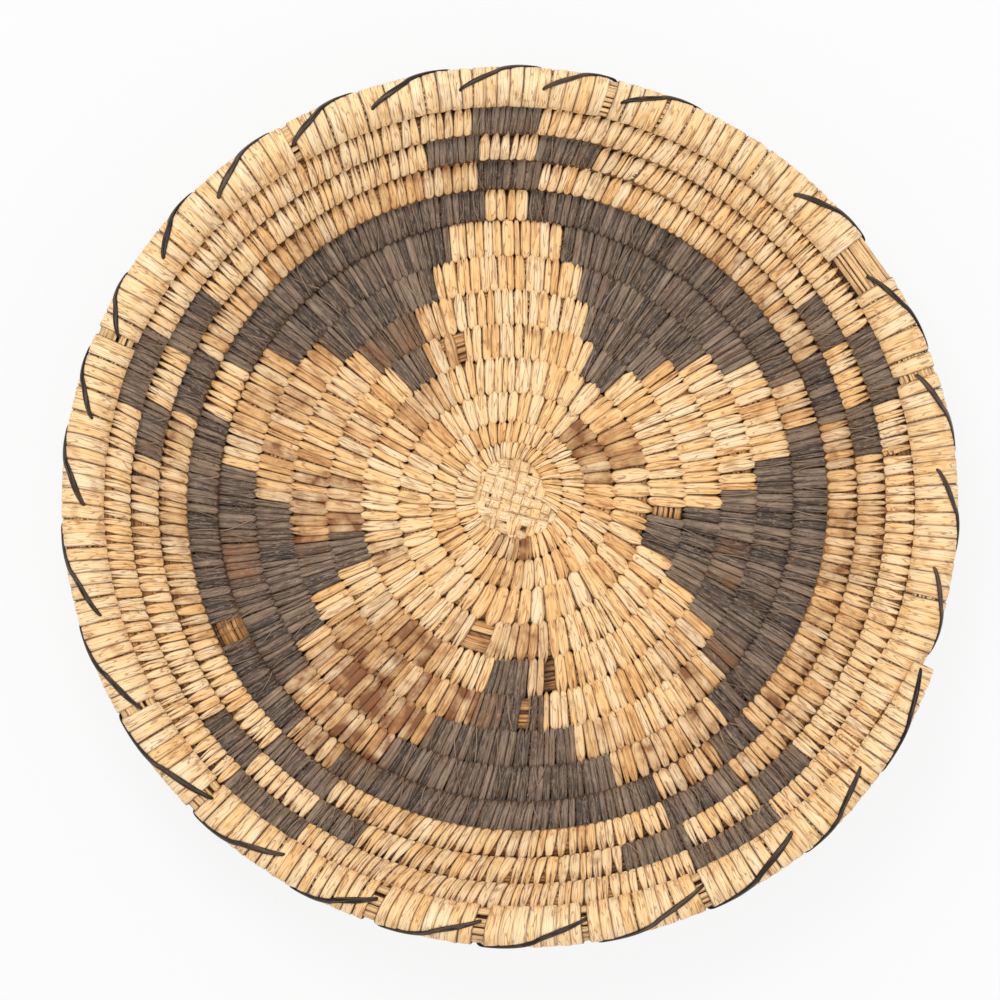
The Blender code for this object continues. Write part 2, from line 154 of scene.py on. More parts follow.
# The stitch that ties the coil's end down
END_TIE = (112.3, 125.5)

# Brown stains and faded dye: row, clock angles, and how strong they are
STAINS = (
    (2, 160, 200, 0.6), (3, 35, 76, 0.75), (3, 168, 196, 0.5), (4, 52, 76, 0.8),
    (4, 290, 302, 0.35), (5, 165, 185, 0.75), (5, 186, 206, 0.55), (5, 240, 253, 0.65),
    (5, 303, 330, 0.45), (6, 165, 175, 0.7), (6, 203, 223, 0.95), (6, 223, 235, 0.55),
    (6, 258, 276, 0.9), (6, 278, 300, 0.25), (6, 326, 341, 0.5), (7, 100.5, 103, 0.9),
    (7, 107.5, 110, 0.9), (7, 122, 137, 0.4), (7, 171, 175, 1), (7, 184, 200, 0.9),
    (7, 203, 237, 0.85), (7, 257, 272, 1), (7, 272, 282, 0.6), (7, 290, 316, 0.35),
    (7, 314, 336, 0.8), (8, 122, 129, 1), (8, 129, 138, 0.55), (8, 153, 166, 0.4),
    (8, 199, 234, 0.9), (8, 269, 286, 0.65), (8, 286, 310, 0.4), (9, 64, 76, 0.5),
    (9, 136, 160, 0.4), (9, 206, 225, 1), (9, 224, 233, 0.6), (9, 252, 263, 0.85),
    (9, 278, 302, 0.35), (10, 37, 64, 0.6), (10, 75, 133, 0.55), (10, 140, 154, 0.4),
    (10, 208, 225, 0.6), (11, 12, 17, 0.5), (11, 83, 141, 0.35), (11, 165, 212, 0.25),
    (11, 244, 284, 0.45), (11, 296, 352, 0.35), (12, 164, 204, 0.2), (12, 262, 278, 0.35),
    (13, 165, 212, 0.2),
)
# Splints lighter than the rest, spliced in or bleached
PALE = ((4, 161, 167), (4, 298, 301), (4, 352, 354), (12, 355, 360))

# How stitches lean, in degrees clockwise: at a clock angle on the flat and on the wall, and
# how much more at a place on the coil near the middle
FLAT_LEANS = (
    (0, -2), (8, -5), (24, -5), (38, 3), (65, 5), (78, 1), (95, 2), (112, 6), (145, 8),
    (165, 10), (195, 12), (212, 10), (230, 1), (244, 1), (262, 9), (286, 9), (298, 2),
    (312, 1), (328, 4), (345, 11), (355, 3), (360, -2),
)
WALL_LEANS = (
    (0, 8), (10, 14), (22, 16), (32, 0), (60, -3), (80, -4), (98, 0), (112, 5), (122, 1),
    (150, 0), (160, 4), (170, 10), (182, 20), (196, 23), (210, 6), (228, 0), (245, 7),
    (265, 10), (280, 15), (298, 2), (315, 6), (330, 11), (350, 7), (360, 8),
)
ROW_LEANS = ((1, 11), (3, 7), (4.5, 2), (6, 0))
# Share of the lean on the flat and on the wall at a place on the coil, and how far a stitch
# reaches across there, in millimetres
FLAT_LEAN_SHARE = ((1, 0.3), (4, 1))
WALL_LEAN_SHARE = ((8, 0), (10.5, 1))
LEAN_REACH = ((0.7, 7), (3, 11), (4, 12.5))

# How far beyond the groove between two rows the outer one's stitches begin, in millimetres
# at a place on the coil, how much further at a clock angle, and the wall's share of that
SEAM_SHIFTS = ((7.5, -0.3), (8.5, 0.9), (9.5, 2.2), (10.5, 2.4), (11.5, 1.9), (12.5, 1.4))
CLOCK_SHIFTS = ((-25, 0), (-8, 1.3), (25, 1.3), (42, 0))
CLOCK_SHIFT_SHARE = ((10.1, 0), (10.8, 1))
# How much further inward a wrap of the rim reaches where the clock adds nothing
RIM_STRETCH = 1.0 * MM

# How far stitches have changed from the long leaves of the flat middle to the blunt, straight
# ones of the wall, and the share of their tone that they keep, at a place on the coil
BLUNTING = ((8.0, 0), (9.2, 1))
STRAIGHTENING = ((9.8, 0), (10.8, 1))
TONE_SHARE = ((9.5, 1), (10.5, 0.8), (12, 0.6))

# How unlike in width the stitches of a run are, and how narrow and how wide one may get, as
# shares of the pitch, and how much wider or narrower than it begins one may end
STITCH_SPREAD = (0.8, 1.2)
NARROWEST, WIDEST = 0.55, 1.8
FAN_MOST = 0.35
# How near a stitch must be to the middle between two tips of the row below to be drawn to it,
# as a share of the pitch, and how much of the way it is drawn
CATCH_REACH, CATCH_PULL = 0.6, 0.85

# What sets the kinds of stitch apart: width as a share of the pitch, shares of the lean and
# of the taper, width of the point where it is the same for all, share that fork, share of
# the split's depth, wrinkles and arch of the face as shares of the thickness, and how far
# the outer end reaches too far, as mean and spread in millimetres
Kind = namedtuple("Kind", "snug lean taper point forks groove wrinkle arch reach")
DARK_STITCH = Kind(1.06, 1, 0.6, 0.45, 0.6, 1, 0.3, 1.0, (0.8, 0.7))
TAN_STITCH = Kind(1.05, 1, 1, None, 0.3, 1, 0.16, 0.25, (0, 0.3))
RIM_WRAP = Kind(1.05, 0.5, 1, None, 0, 0.2, 0.05, 0.0, (0, 0.3))

# Half the width of a full row. Steps of a stitch round its row, in millimetres from its
# inner and outer end, which shrink where a row is narrower
FULL_HALF_WIDTH = 5.5 * MM
TOP_IN = (0, 0.25, 0.6, 1.1, 1.8, 2.8)
TOP_OUT = (4.8, 3.6, 2.7, 1.9, 1.2, 0.55, 0)
UNDER_OUT = (0, 1.4, 3.4)
UNDER_IN = (3, 1.2, 0)
# The form of a stitch: pairs of a value on the flat and what the wall adds to it. How far
# its outer end lies beyond the groove, in millimetres, how round and how wide its dome is
# and where that stops, and the length of its outer point
OVERHANG = (2.6, -1.7)
DOME_POWER, DOME_WIDTH, DOME_MOST = (3.1, -1.1), (1.22, -0.2), (0.95, 0.025)
POINT_LENGTH = (4.6, 1.0)
POINT_POWER = 1.25
# The same for its inner end, which straightens later: its length, power and least width
INNER_LENGTH, INNER_POWER, INNER_WIDTH = (1.6, -0.6), (2.1, 0.4), (0.3, 0.25)
# How much further inward a stitch of the flat begins, in millimetres, and how much of what
# lies beyond the groove a dome of the wall sinks
FLAT_INWARD = 0.5
DOME_SINK = 0.45
# How far in its ends turn down into the groove, in millimetres, and how deep in four steps,
# as shares of its height
TUCK = 0.35
TUCK_HEIGHTS = (0.1, 0.2, -0.2, -0.15)
# The section's outline, as a rounded box of this power
ROUND = 2.6
# Steps of a wrap round the rim, in degrees from its outer side, and its width there
RIM_ANGLES = (
    205, 190, 177, 164, 150, 136, 121, 106, 90, 74, 58, 44, 30, 16, 2, -12, -26, -42, -60,
    -80, -100, -125, -150, -165,
)
RIM_WIDTHS = (0.45, 0.66, 0.86, 0.96) + (1,) * 20
# Lacing: degrees round the rim, share of the way from hole to edge, and lift in mm
LACING_WAY = (
    (72, -0.05, -2.6), (66, -0.02, -1.2), (60, 0.00, -0.2), (52, 0.05, 0.1),
    (40, 0.14, 0.15), (26, 0.26, 0.2), (12, 0.39, 0.3), (-2, 0.52, 0.3), (-14, 0.65, 0.25),
    (-25, 0.78, 0.15), (-35, 0.90, 0.0), (-46, 1.0, -0.1), (-68, 1.05, -0.1),
    (-92, 1.07, 0), (-118, 1.09, 0.1), (-142, 1.10, 0), (-160, 1.10, -0.4),
    (-175, 1.10, -1.6),
)
# How much higher the lacing lies than that, in millimetres
LACING_LIFT = 0.3
# How finely that is followed, and how unlike in width the loops are
LACING_STEP = 1 / 3
LACING_SPREAD = (0.85, 1.08)
# Round the lacing splint: places and heights as shares of its half sizes, places with the
# back laid out flat, how much the darker edge shows, which is painted shade along the sides
# of the rounded strand, and how it narrows from hole to edge
LACING_SIDES = (-1, -0.75, -0.3, 0.3, 0.75, 1, 0.7, -0.7)
LACING_HEIGHTS = (0, 0.7, 1, 1, 0.7, 0, -0.6, -0.6)
LACING_UNROLLED = (*LACING_SIDES[:6], 1.5, 2.5, 3)
LACING_EDGES = (0.8, 0.4, 0, 0, 0.4, 0.8, 0.8, 0.8)
LACING_WIDTHS = ((0, 0.6), (0.25, 1), (0.8, 1), (1, 0.8))

# The plaited start: how far it is turned, and its middle level
PLAIT_TILT = math.radians(-18)
PLAIT_LEVEL = 2.75 * MM
# Its layers: the way they face, with a flat one between that closes the gaps, the range of
# their splints' widths as shares of the pitch, and how far they run beneath the first row
PLAIT_LAYERS = (
    (1, (0.93, 1.04), 0.6 * MM), (-1, (0.93, 1.04), 0.6 * MM), (0, (1.05, 1.06), 2.5 * MM),
)
# How far a layer lies from the middle level, how much it rises and falls, and how far and
# how long its splints' ends dip, all in millimetres
PLAIT_RISE, PLAIT_SWING, PLAIT_DIP, PLAIT_DIP_LENGTH = 2.05, 0.5, 1.5, 1.3
# Round a plaited splint: places as shares of the half width, heights in millimetres, places
# with the back laid out flat, and how much the darker edge shows, painted shade along the
# splints' edges where they cross
PLAIT_SIDES = (-1, -0.85, -0.4, 0, 0.4, 0.85, 1, 0.7, -0.7)
PLAIT_CROWN = (0, 0.2, 0.3, 0.26, 0.3, 0.2, 0, -0.25, -0.25)
PLAIT_UNROLLED = (*PLAIT_SIDES[:7], 1.4, 2.4, 3)
PLAIT_EDGES = (0.6, 0.2, 0, 0, 0, 0.2, 0.6, 1, 1)
PLAIT_STEPS = 41
# How unevenly its splints lie, in radians and in metres
PLAIT_SKEW, PLAIT_STRAY = 0.06, 0.1 * MM

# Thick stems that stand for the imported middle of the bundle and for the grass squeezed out
# between the rows: place across and up as shares, and radius in millimetres in a full row
STRAW_MIDDLE = (
    (-1.03, -0.3, 1.5), (1.03, -0.3, 1.5), (-0.5, 0, 2.4), (0, 0, 2.8), (0.5, 0, 2.4),
)

# Round a splint, over its face and back: places as shares of the half width, heights as
# shares of the thickness, and how much the edge colour shows, which is painted shade on tan
# splints and worn fibre with painted highlight on dark ones. The face's middle can split.
SPLINT_SIDES = (-1.0, -0.89, -0.7, -0.12, 0.0, 0.12, 0.7, 0.89, 1.0, 0.7, -0.7)
SPLINT_HEIGHTS = (-0.1, 0.75, 0.98, 1, 1, 1, 0.98, 0.75, -0.1, -0.45, -0.45)
SPLINT_EDGES = (1, 0.6, 0.05, 0, 0, 0, 0.05, 0.6, 1, 1, 1)
FACE_POINTS = 9
SPLIT_POINT = 4
# The same places with the back laid out flat beside the face, for the fibres' pattern
SPLINT_UNROLLED = (*SPLINT_SIDES[:FACE_POINTS], 1.4, 2.6, 3.2)
# How deep a fork is where it opens, how much deeper it gets to the tip, and the most that any
# groove may have, as shares of the thickness
FORK_DEPTH, FORK_DEEPENING, GROOVE_MOST = 0.7, 2.2, 2.4

# Along a dark row, one lifted fibre to about this length
STRAY_PITCH = 4 * MM

# How far the fibres' pattern moves from one splint or stem to the next, in metres, so that no
# two are alike: of a stitch, which has three times as much along it, of a stem, and along and
# across a plaited splint and a loop of lacing
STITCH_SHIFT, STEM_SHIFT = 0.0137, 0.021
PLAIT_SHIFTS, LACING_SHIFTS = (0.03, 0.017), (0.05, 0.013)
# In the UV map OFBake, as shares of a cell: the margin round a tube's island, and the
# radius of its closed ends
ISLAND_MARGIN, END_RADIUS = 0.04, 0.02

# Values that a mesh's points carry for its material
FINISH = ("tone", "stain", "edge")
# A fibre's shade: the share that its fine and coarse streaks, its patches and its own tone
# have in it, what it starts from, and what is taken off it for the palest colour
SHADE_SHARES = (0.6, 0.75, 0.25, 0.6)
SHADE_START = -0.3
SHADE_PALEST = 0.37
# How big patches are, and how far from its middle value the noise still draws a grain line
PATCH_SIZE = 6 * MM
LINE_WIDTH = 0.055

# Grass stems: steps along the coil, as few as keep the bundle under the export's limit of
# faces, sides of a stem, and where it begins after the coil's own start
GRASS_STEP = 1 / 52
STEM_SIDES = 5
GRASS_START = COIL_START + 0.02
# How far stems wander round the bundle, in radians, with how many bends a turn, and how much
# and how often they swell
SWAY, SWAY_BENDS = 0.12, (5, 9)
SWELL, SWELL_COUNT = 0.12, 37
STEM_WIDTHS = (0.8, 1.25)
# How far inside the sewing they lie, as a share of a stem's width, and as shares of that in a
# row and under the rim's wraps, which leave more room on the outer side
STEM_INSET = 0.45
ROW_INSET, RIM_INSET = 0.9, 0.6
# How boxy the bundle's outline is at places on the coil
BUNDLE_POWER = ((8, 2.6), (9, 2), (RIM_START - 0.1, 2), (RIM_START, ROUND))
# Their tone: added on the wall, which is grass from WALL_START on, and on the rim, set in the
# packed middle, dark there as painted shade in the hollows between the rows, where it shows,
# and under dark stitches, and multiplied in bare places of the flat and wall
WALL_START = 9
WALL_TONE, RIM_TONE = 0.4, -0.95
PACKED_SHADED_TONE, COVERED_TONE = 1.1, 1.5
BARE_FLAT_TONE, BARE_WALL_TONE = 0.7, 1.4

# The camera looks straight down, as far up as keeps the view flat. FRAME_WIDTH is what it
# sees across at the level of the rim, which is 0.32 mm for each of the picture's 1000 pixels.
CAMERA_MIDDLE = (-0.00448, -0.00272)
CAMERA_HEIGHT = 3.0
FRAME_WIDTH = 0.32
RIM_LEVEL = 0.042
SENSOR_WIDTH = 36
# Square lamps: name, place, width and power in watts
LAMPS = (("key", (-0.35, 0.8, 1.35), 0.8, 9.0), ("fill", (0.9, -0.5, 1.3), 1.2, 2.5))
FLOOR_HALF = 6
FLOOR_DROP = 0.0002

STRAY_SEED = 10
SEWING_SEED = 11
RIM_SEED = 12
GRASS_SEED = 13
PLAIT_SEED = 14

# No splint reaches below this level
GROUND = 0.05 * MM

Sections = namedtuple("Sections", "middle across up wide tall")


def wall_knots():
    """Radius and rise of the wall between rows, with one more knot inside the first."""
    widths = np.array(ROW_WIDTHS)
    slopes = np.radians(WALL_SLOPES)
    out = np.concatenate(([-widths[0], 0], np.cumsum(widths * np.cos(slopes))))
    rise = np.concatenate(([0, 0], np.cumsum(widths * np.sin(slopes))))
    return np.arange(len(out)) - 1, START_RADIUS + out, rise


KNOT_PLACES, KNOT_RADII, KNOT_RISES = wall_knots()


def turn(row, clock):
    """The place on the coil at a row and clock angle."""
    return row - clock / 360


def read(table, place):
    """A table of places and values, read at a place between them."""
    return np.interp(place, *zip(*table))


def unit(vectors):
    """The vectors at a length of one."""
    return vectors / np.linalg.norm(vectors, axis=-1, keepdims=True)


def heading(turns):
    """Unit vectors outward and along the coil at places on the spiral."""
    angle = math.tau * (np.asarray(turns, float) + 0.25)
    flat = np.zeros_like(angle)
    outward = np.stack((np.cos(angle), np.sin(angle), flat), -1)
    along = np.stack((-np.sin(angle), np.cos(angle), flat), -1)
    return outward, along


def drifted(profile, radius, outward):
    """Ground points at a radius from the middle of the spiral, which drifts."""
    away = 1 - np.exp(-profile / DRIFT_TURNS)
    along_axis = outward[..., 0] * math.cos(OVAL_AXIS) + outward[..., 1] * math.sin(OVAL_AXIS)
    oval = OVAL * (profile / OVAL_TURNS) ** 2 * (2 * along_axis**2 - 1)
    point = outward * (radius + oval)[..., None]
    point[..., :2] += DRIFT * away[..., None]
    return point


def wall(profile, outward):
    """Points of the wall between rows, without the coil's own height."""
    point = drifted(profile, np.interp(profile - 0.5, KNOT_PLACES, KNOT_RADII), outward)
    point[..., 2] = np.interp(profile - 0.5, KNOT_PLACES, KNOT_RISES)
    return point


def row_sections(turns):
    """Cross-sections of the coil's rows, which stand on the wall."""
    outward, along = heading(turns)
    inner = wall(turns - 0.5, outward)
    outer = wall(turns + 0.5, outward)
    grown = np.clip((turns - COIL_START) / (FULL_HEIGHT_TURN - COIL_START), 0, 1)
    tall = (START_COIL_HEIGHT + (COIL_HEIGHT - START_COIL_HEIGHT) * grown) / 2
    middle = (inner + outer) / 2
    middle[..., 2] += tall
    wide = np.linalg.norm(outer - inner, axis=-1) / 2 - ROW_GAP / 2
    across = unit(outer - inner)
    return Sections(middle, across, unit(np.cross(across, along)), wide, tall)


def rim_sections(turns):
    """The rim coil rests on the row below, and its end on its own beginning."""
    under = row_sections if np.max(turns) < RIM_START + 1 else coil_sections
    below = under(turns - 1)
    outward, along = heading(turns)
    size = np.clip((RIM_END - turns) / RIM_TAPER_TURNS, 0, 1)
    size = RIM_END_SIZE + (1 - RIM_END_SIZE) * size
    radius = np.interp(turns - 1, KNOT_PLACES, KNOT_RADII) + read(RIM_LEANS, turns)
    wide = RIM_WIDTH / 2 * size
    middle = drifted(turns, radius, outward)
    level = np.linalg.norm((middle - below.middle)[..., :2], axis=-1)
    reach = below.wide + RIM_ROOM + wide
    rise = np.sqrt(np.maximum(reach**2 - level**2, 0))
    middle[..., 2] = below.middle[..., 2] + rise
    across = unit(middle - below.middle)
    up = unit(np.cross(across, along))
    return Sections(middle, across, up, wide, RIM_HEIGHT / 2 * size)


def coil_sections(turns):
    """Cross-sections of the whole coil, easing from the last row into the rim."""
    turns = np.asarray(turns, float)
    row = row_sections(np.minimum(turns, RIM_START + RIM_BLEND_TURNS))
    rim = rim_sections(np.maximum(turns, RIM_START))
    part = np.clip((turns - RIM_START) / RIM_BLEND_TURNS, 0, 1)
    part = part * part * (3 - 2 * part)
    wide_part = part[..., None]
    return Sections(
        row.middle + (rim.middle - row.middle) * wide_part,
        unit(row.across + (rim.across - row.across) * wide_part),
        unit(row.up + (rim.up - row.up) * wide_part),
        row.wide + (rim.wide - row.wide) * part,
        row.tall + (rim.tall - row.tall) * part,
    )


def turn_length(turns):
    """Length of one turn of the coil at a place on the spiral."""
    return math.tau * np.interp(np.asarray(turns) - 0.5, KNOT_PLACES, KNOT_RADII)


def design_runs():
    """The lengths of sewing along the coil, as name, first turn and last turn."""
    pieces = [(CENTRE, COIL_START, turn(4, 0))]
    for row, marks in DESIGN.items():
        clock = 0
        for name, end in marks:
            if name:
                pieces.append((name, turn(row, end), turn(row, clock)))
            clock = end
    return sorted(pieces, key=lambda piece: piece[1])


def is_dark(name):
    """Whether a piece is sewn with dyed splints."""
    return name.startswith("dark") or (name.startswith("diamond") and "cell" not in name)


def row_and_clock(place):
    """The row and clock angle of a place on the coil."""
    row = math.floor(place) + 1
    return row, (row - place) * 360


def in_marks(marks, place, ease=0.0):
    """The greatest strength of the marks at a place, or 0, fading over an ease in degrees."""
    row, clock = row_and_clock(place)
    found = 0
    for marked, start, end, *strength in marks:
        if marked == row:
            inside = min(clock - start, end - clock) + ease
            share = min(max(inside / max(ease * 2, 0.01), 0), 1)
            found = max(found, share * (strength[0] if strength else 1))
    return found


def spaced(first, last, pitch, draw):
    """Places of evenly sewn stitches in a run, no two quite alike in width."""
    length = (last - first) * turn_length((first + last) / 2)
    count = max(round(length / pitch), 1)
    steps = draw.uniform(*STITCH_SPREAD, count)
    ends = np.concatenate(([0], np.cumsum(steps))) / steps.sum()
    return first + (last - first) * (ends[1:] + ends[:-1]) / 2


def caught(places, tips, gap):
    """The places, moved to lie between the nearest two tips of the row below."""
    moved = places.copy()
    if len(tips) > 1:
        tips = np.sort(tips) + 1
        between = (tips[1:] + tips[:-1]) / 2
        for i, place in enumerate(places):
            nearest = between[np.argmin(abs(between - place))]
            if abs(nearest - place) < CATCH_REACH * gap:
                moved[i] = place + CATCH_PULL * (nearest - place)
    return moved


def lean(place):
    """How far a stitch's outer end lies clockwise of its inner end, in metres."""
    _, clock = row_and_clock(place)
    flat = read(FLAT_LEAN_SHARE, place) * read(FLAT_LEANS, clock)
    angle = flat + read(WALL_LEAN_SHARE, place) * (read(WALL_LEANS, clock) - flat)
    angle += read(ROW_LEANS, place)
    return read(LEAN_REACH, place) * MM * math.tan(math.radians(angle))


def kind_of(name):
    """The kind of stitch that a piece is sewn with."""
    if name.startswith("rim"):
        return RIM_WRAP
    return DARK_STITCH if is_dark(name) else TAN_STITCH


def sew(name, places, pitch, widths, draw):
    """The facts of each stitch: where it lies, its size and its finish.

    A stitch runs from its place to its tip, which catches the next row. It fans out along
    the way, begins and ends near and far of the grooves, can fork into two strands of
    unlike height, and lies with its own lift, roll and bend. Its face splits off its middle
    by a groove. Its edges, ends and groove take the edge colour, as strongly as each stitch
    is given: painted shade on tan stitches, worn fibre with painted highlight on dark ones.
    """
    stitches = []
    kind = kind_of(name)
    for place, width in zip(places, widths):
        length = turn_length(place)
        before, after = place - pitch / length, place + pitch / length
        fan = (lean(before) - lean(after)) / (2 * pitch)
        _, clock = row_and_clock(place)
        more = read(CLOCK_SHIFTS, (clock + 180) % 360 - 180) * MM
        near, far = (read(SEAM_SHIFTS, seam) * MM + more * read(CLOCK_SHIFT_SHARE, seam)
                     for seam in (place, place + 1))
        away = (lean(place) * kind.lean + draw.normal(0, 0.18 * MM)) / length
        stain = in_marks(STAINS, place, 2.5)
        stitches.append({
            "place": place,
            "tip": place - away,
            "fan": np.clip(fan, -FAN_MOST, FAN_MOST),
            "width": np.clip(width, NARROWEST * pitch, WIDEST * pitch) * kind.snug,
            "square": read(BLUNTING, place),
            "straight": read(STRAIGHTENING, place),
            "near": near,
            "far": far,
            "stretch": RIM_STRETCH - more,
            "taper": draw.uniform(0.7, 1.3) * kind.taper,
            "point": kind.point or draw.uniform(0.04, 0.2),
            "fork": draw.random() < kind.forks,
            "strand": draw.normal(0, 0.5 * MM),
            "lift": draw.normal(0, 0.12 * MM),
            "roll": draw.normal(0.12, 0.22),
            "bend": draw.normal(0, 0.12 * MM),
            "split": draw.uniform(-0.4, 0.4),
            "groove": max(draw.normal(0.0, 0.5), 0) * kind.groove,
            "worn": draw.uniform(0.5, 1.5),
            "wrinkle": draw.normal(0, kind.wrinkle, FACE_POINTS),
            "arch": kind.arch,
            "reach": draw.normal(*kind.reach) * MM,
            "tone": (0.02 if in_marks(PALE, place)
                     else draw.beta(1.8, 2.4) * read(TONE_SHARE, place)),
            "stain": stain * draw.uniform(0.4, 1.3),
            "bare": in_marks(BARE, place) > 0,
        })
    return stitches


def sew_run(name, first, last, places, pitch, draw):
    """Stitches that fill a run, each as wide as the way to its neighbours."""
    edges = np.concatenate(([first], (places[1:] + places[:-1]) / 2, [last]))
    widths = np.diff(edges) * turn_length(places)
    return sew(name, (edges[1:] + edges[:-1]) / 2, pitch, widths, draw)


@functools.cache
def sewing(tan_pitch, dark_pitch):
    """All stitches of the rows, by name, in the order in which they were sewn."""
    draw = np.random.default_rng(SEWING_SEED)
    tips = []
    made = {}
    for name, first, last in design_runs():
        pitch = dark_pitch if is_dark(name) else tan_pitch
        places = spaced(first, last, pitch, draw)
        gap = (last - first) / len(places)
        below = [tip for tip in tips if first - gap < tip + 1 < last + gap]
        places = np.sort(caught(places, below, gap))
        stitches = sew_run(name, first, last, places, pitch, draw)
        tips += [stitch["tip"] for stitch in stitches]
        made.setdefault(name, []).extend(s for s in stitches if not s["bare"])
    strays = np.random.default_rng(STRAY_SEED)
    for name, first, last in design_runs():
        if is_dark(name):
            made[name].extend(stray_fibres(name, first, last, strays))
    return made, tuple(tips)


def stray_fibres(name, first, last, draw):
    """Fine pale fibres that have lifted off the dark splints of one run."""
    places = spaced(first, last, STRAY_PITCH, draw)
    strays = sew(name, places, STRAY_PITCH, np.full(len(places), STRAY_PITCH), draw)
    for stray in strays:
        stray.update(
            tip=stray["place"] + draw.normal(0, 2.2 * MM) / turn_length(stray["place"]),
            width=draw.uniform(0.25, 0.5) * MM, lift=draw.uniform(0.25, 0.6) * MM,
            bend=draw.normal(0, 0.6 * MM), reach=-draw.uniform(0, 4.5) * MM,
            tone=draw.uniform(-1.4, -0.2), fork=0, groove=0, worn=0)
    return [stray for stray in strays if draw.random() < 0.7]


@functools.cache
def rim_sewing(rim_pitch, tan_pitch, dark_pitch):
    """The rim's wraps, with the name of the length of wrapping that each belongs to."""
    draw = np.random.default_rng(RIM_SEED)
    _, tips = sewing(tan_pitch, dark_pitch)
    bare = [edge for marks in RIM_BARE for edge in rim_turns(*marks)]
    edges = sorted([RIM_START, *bare, RIM_END])
    boxes = rim_boxes()
    made = {}
    for first, last in zip(edges[::2], edges[1::2]):
        places = spaced(first, last, rim_pitch, draw)
        name = next(name for name, end in boxes if (first + last) / 2 < end)
        made.setdefault(name, []).extend(sew_run(name, first, last, places, rim_pitch, draw))
    return made


def rim_turns(*clocks):
    """Places on the rim at clock angles on the same side of its beginning."""
    row = LAST_ROW if clocks[0] < COIL_END_CLOCK else LAST_ROW + 1
    return [turn(row, clock) for clock in clocks]


def rim_boxes():
    """Each packed length of rim wrapping, with the place where it ends."""
    ends = sorted(sum(rim_turns(*gap)) / 2 for gap in RIM_WINDOWS)
    return [(f"rim_wrap_{i}", end) for i, end in enumerate([*ends, RIM_END], 1)]


def smooth_rows(table, steps):
    """A table's columns at steps between its rows, along a smooth curve."""
    table = np.asarray(table, float)
    padded = np.concatenate((table[:1], table, table[-1:]))
    low = np.minimum(np.floor(steps).astype(int), len(table) - 2)
    part = (steps - low)[:, None]
    a, b, c, d = (padded[low + i] for i in range(4))
    return 0.5 * (
        2 * b + (c - a) * part + (2 * a - 5 * b + 4 * c - d) * part**2
        + (3 * b - a - 3 * c + d) * part**3
    )


def tube_faces(tubes, steps, sides):
    """Quads of many tubes of rings, and each corner's step and side for its UV."""
    step, side = np.meshgrid(np.arange(steps - 1), np.arange(sides), indexing="ij")
    steps_of = np.stack((step, step + 1, step + 1, step), -1).reshape(-1, 4)
    sides_of = np.stack((side, side, side + 1, side + 1), -1).reshape(-1, 4)
    first = np.arange(tubes)[:, None, None] * steps * sides
    return first + steps_of * sides + sides_of % sides, steps_of, sides_of


def cap_faces(tubes, steps, sides):
    """The faces that close many tubes, first all at their beginning and then at their end."""
    first = np.arange(tubes)[:, None] * steps * sides
    start = first + np.arange(sides)
    end = first + (steps - 1) * sides + np.arange(sides)[::-1]
    return np.concatenate((start, end))


def island_cells(count, shape):
    """Low corner and size of a square's cells, for islands of a height to width shape."""
    columns = math.ceil(math.sqrt(count * shape))
    rows = math.ceil(count / columns)
    which = np.arange(count)
    corner = np.stack((which % columns / columns, which // columns / rows), -1)
    return corner, np.array((1 / columns, 1 / rows))


def tubes_object(name, points, fibre, finish, shape=5.0):
    """A mesh of closed tubes.

    points: tube, step, side, xyz. fibre: tube, step, side + 1, with the place along and
    across the fibres in metres. finish: named values for each tube, step and side. shape:
    height to width of a tube's island in the UV map OFBake.
    """
    tubes, steps, sides = points.shape[:3]
    quads, steps_of, sides_of = tube_faces(tubes, steps, sides)
    caps = cap_faces(tubes, steps, sides)
    mesh = bpy.data.meshes.new(name)
    mesh.vertices.add(tubes * steps * sides)
    mesh.vertices.foreach_set("co", points.reshape(-1).astype(np.float32))
    corners = np.concatenate((quads.reshape(-1), caps.reshape(-1)))
    mesh.loops.add(len(corners))
    mesh.loops.foreach_set("vertex_index", corners.astype(np.int32))
    quad_count = quads.shape[0] * quads.shape[1]
    starts = np.concatenate((
        np.arange(quad_count) * 4,
        quad_count * 4 + np.arange(len(caps)) * sides,
    ))
    mesh.polygons.add(len(starts))
    mesh.polygons.foreach_set("loop_start", starts.astype(np.int32))
    mesh.polygons.foreach_set("use_smooth", np.ones(len(starts), bool))
    which = np.arange(tubes)[:, None, None]
    quad_fibre = fibre[which, steps_of, sides_of]
    ends = np.concatenate((fibre[:, 0, :sides], fibre[:, -1, :sides][:, ::-1]))
    set_uv(mesh, "fibre", quad_fibre, ends)
    corner, size = island_cells(tubes, shape)
    spot = np.stack((sides_of / sides, steps_of / (steps - 1)), -1)
    inside = ISLAND_MARGIN + (1 - 2 * ISLAND_MARGIN) * spot
    place = corner[:, None, None] + inside * size
    flat = np.repeat((corner + 0.5 * size)[:, None], sides, 1)
    spin = np.linspace(0, math.tau, sides, endpoint=False)
    flat = flat + END_RADIUS * size * np.stack((np.cos(spin), np.sin(spin)), -1)
    set_uv(mesh, "OFBake", place, np.concatenate((flat, flat)))
    for key, values in finish.items():
        attribute = mesh.attributes.new(key, "FLOAT", "POINT")
        values = np.broadcast_to(values, (tubes, steps, sides))
        attribute.data.foreach_set("value", values.reshape(-1).astype(np.float32))
    mesh.update(calc_edges=True)
    made = bpy.data.objects.new(name, mesh)
    bpy.context.scene.collection.objects.link(made)
    return made


def set_uv(mesh, name, quads, caps):
    """A UV map, from its values at the corners of a mesh's quads and caps."""
    layer = mesh.uv_layers.new(name=name)
    spots = np.concatenate((quads.reshape(-1), caps.reshape(-1))).astype(np.float32)
    layer.uv.foreach_set("vector", spots)


def tapered(distance, length, power, tip):
    """Width share of a splint at a distance from its end."""
    part = np.clip(distance / length, 0, 1)
    return tip + (1 - tip) * (1 - (1 - part) ** power)


def changed(pair, share):
    """A value on the flat, with a share of what the wall adds to it."""
    return pair[0] + pair[1] * share


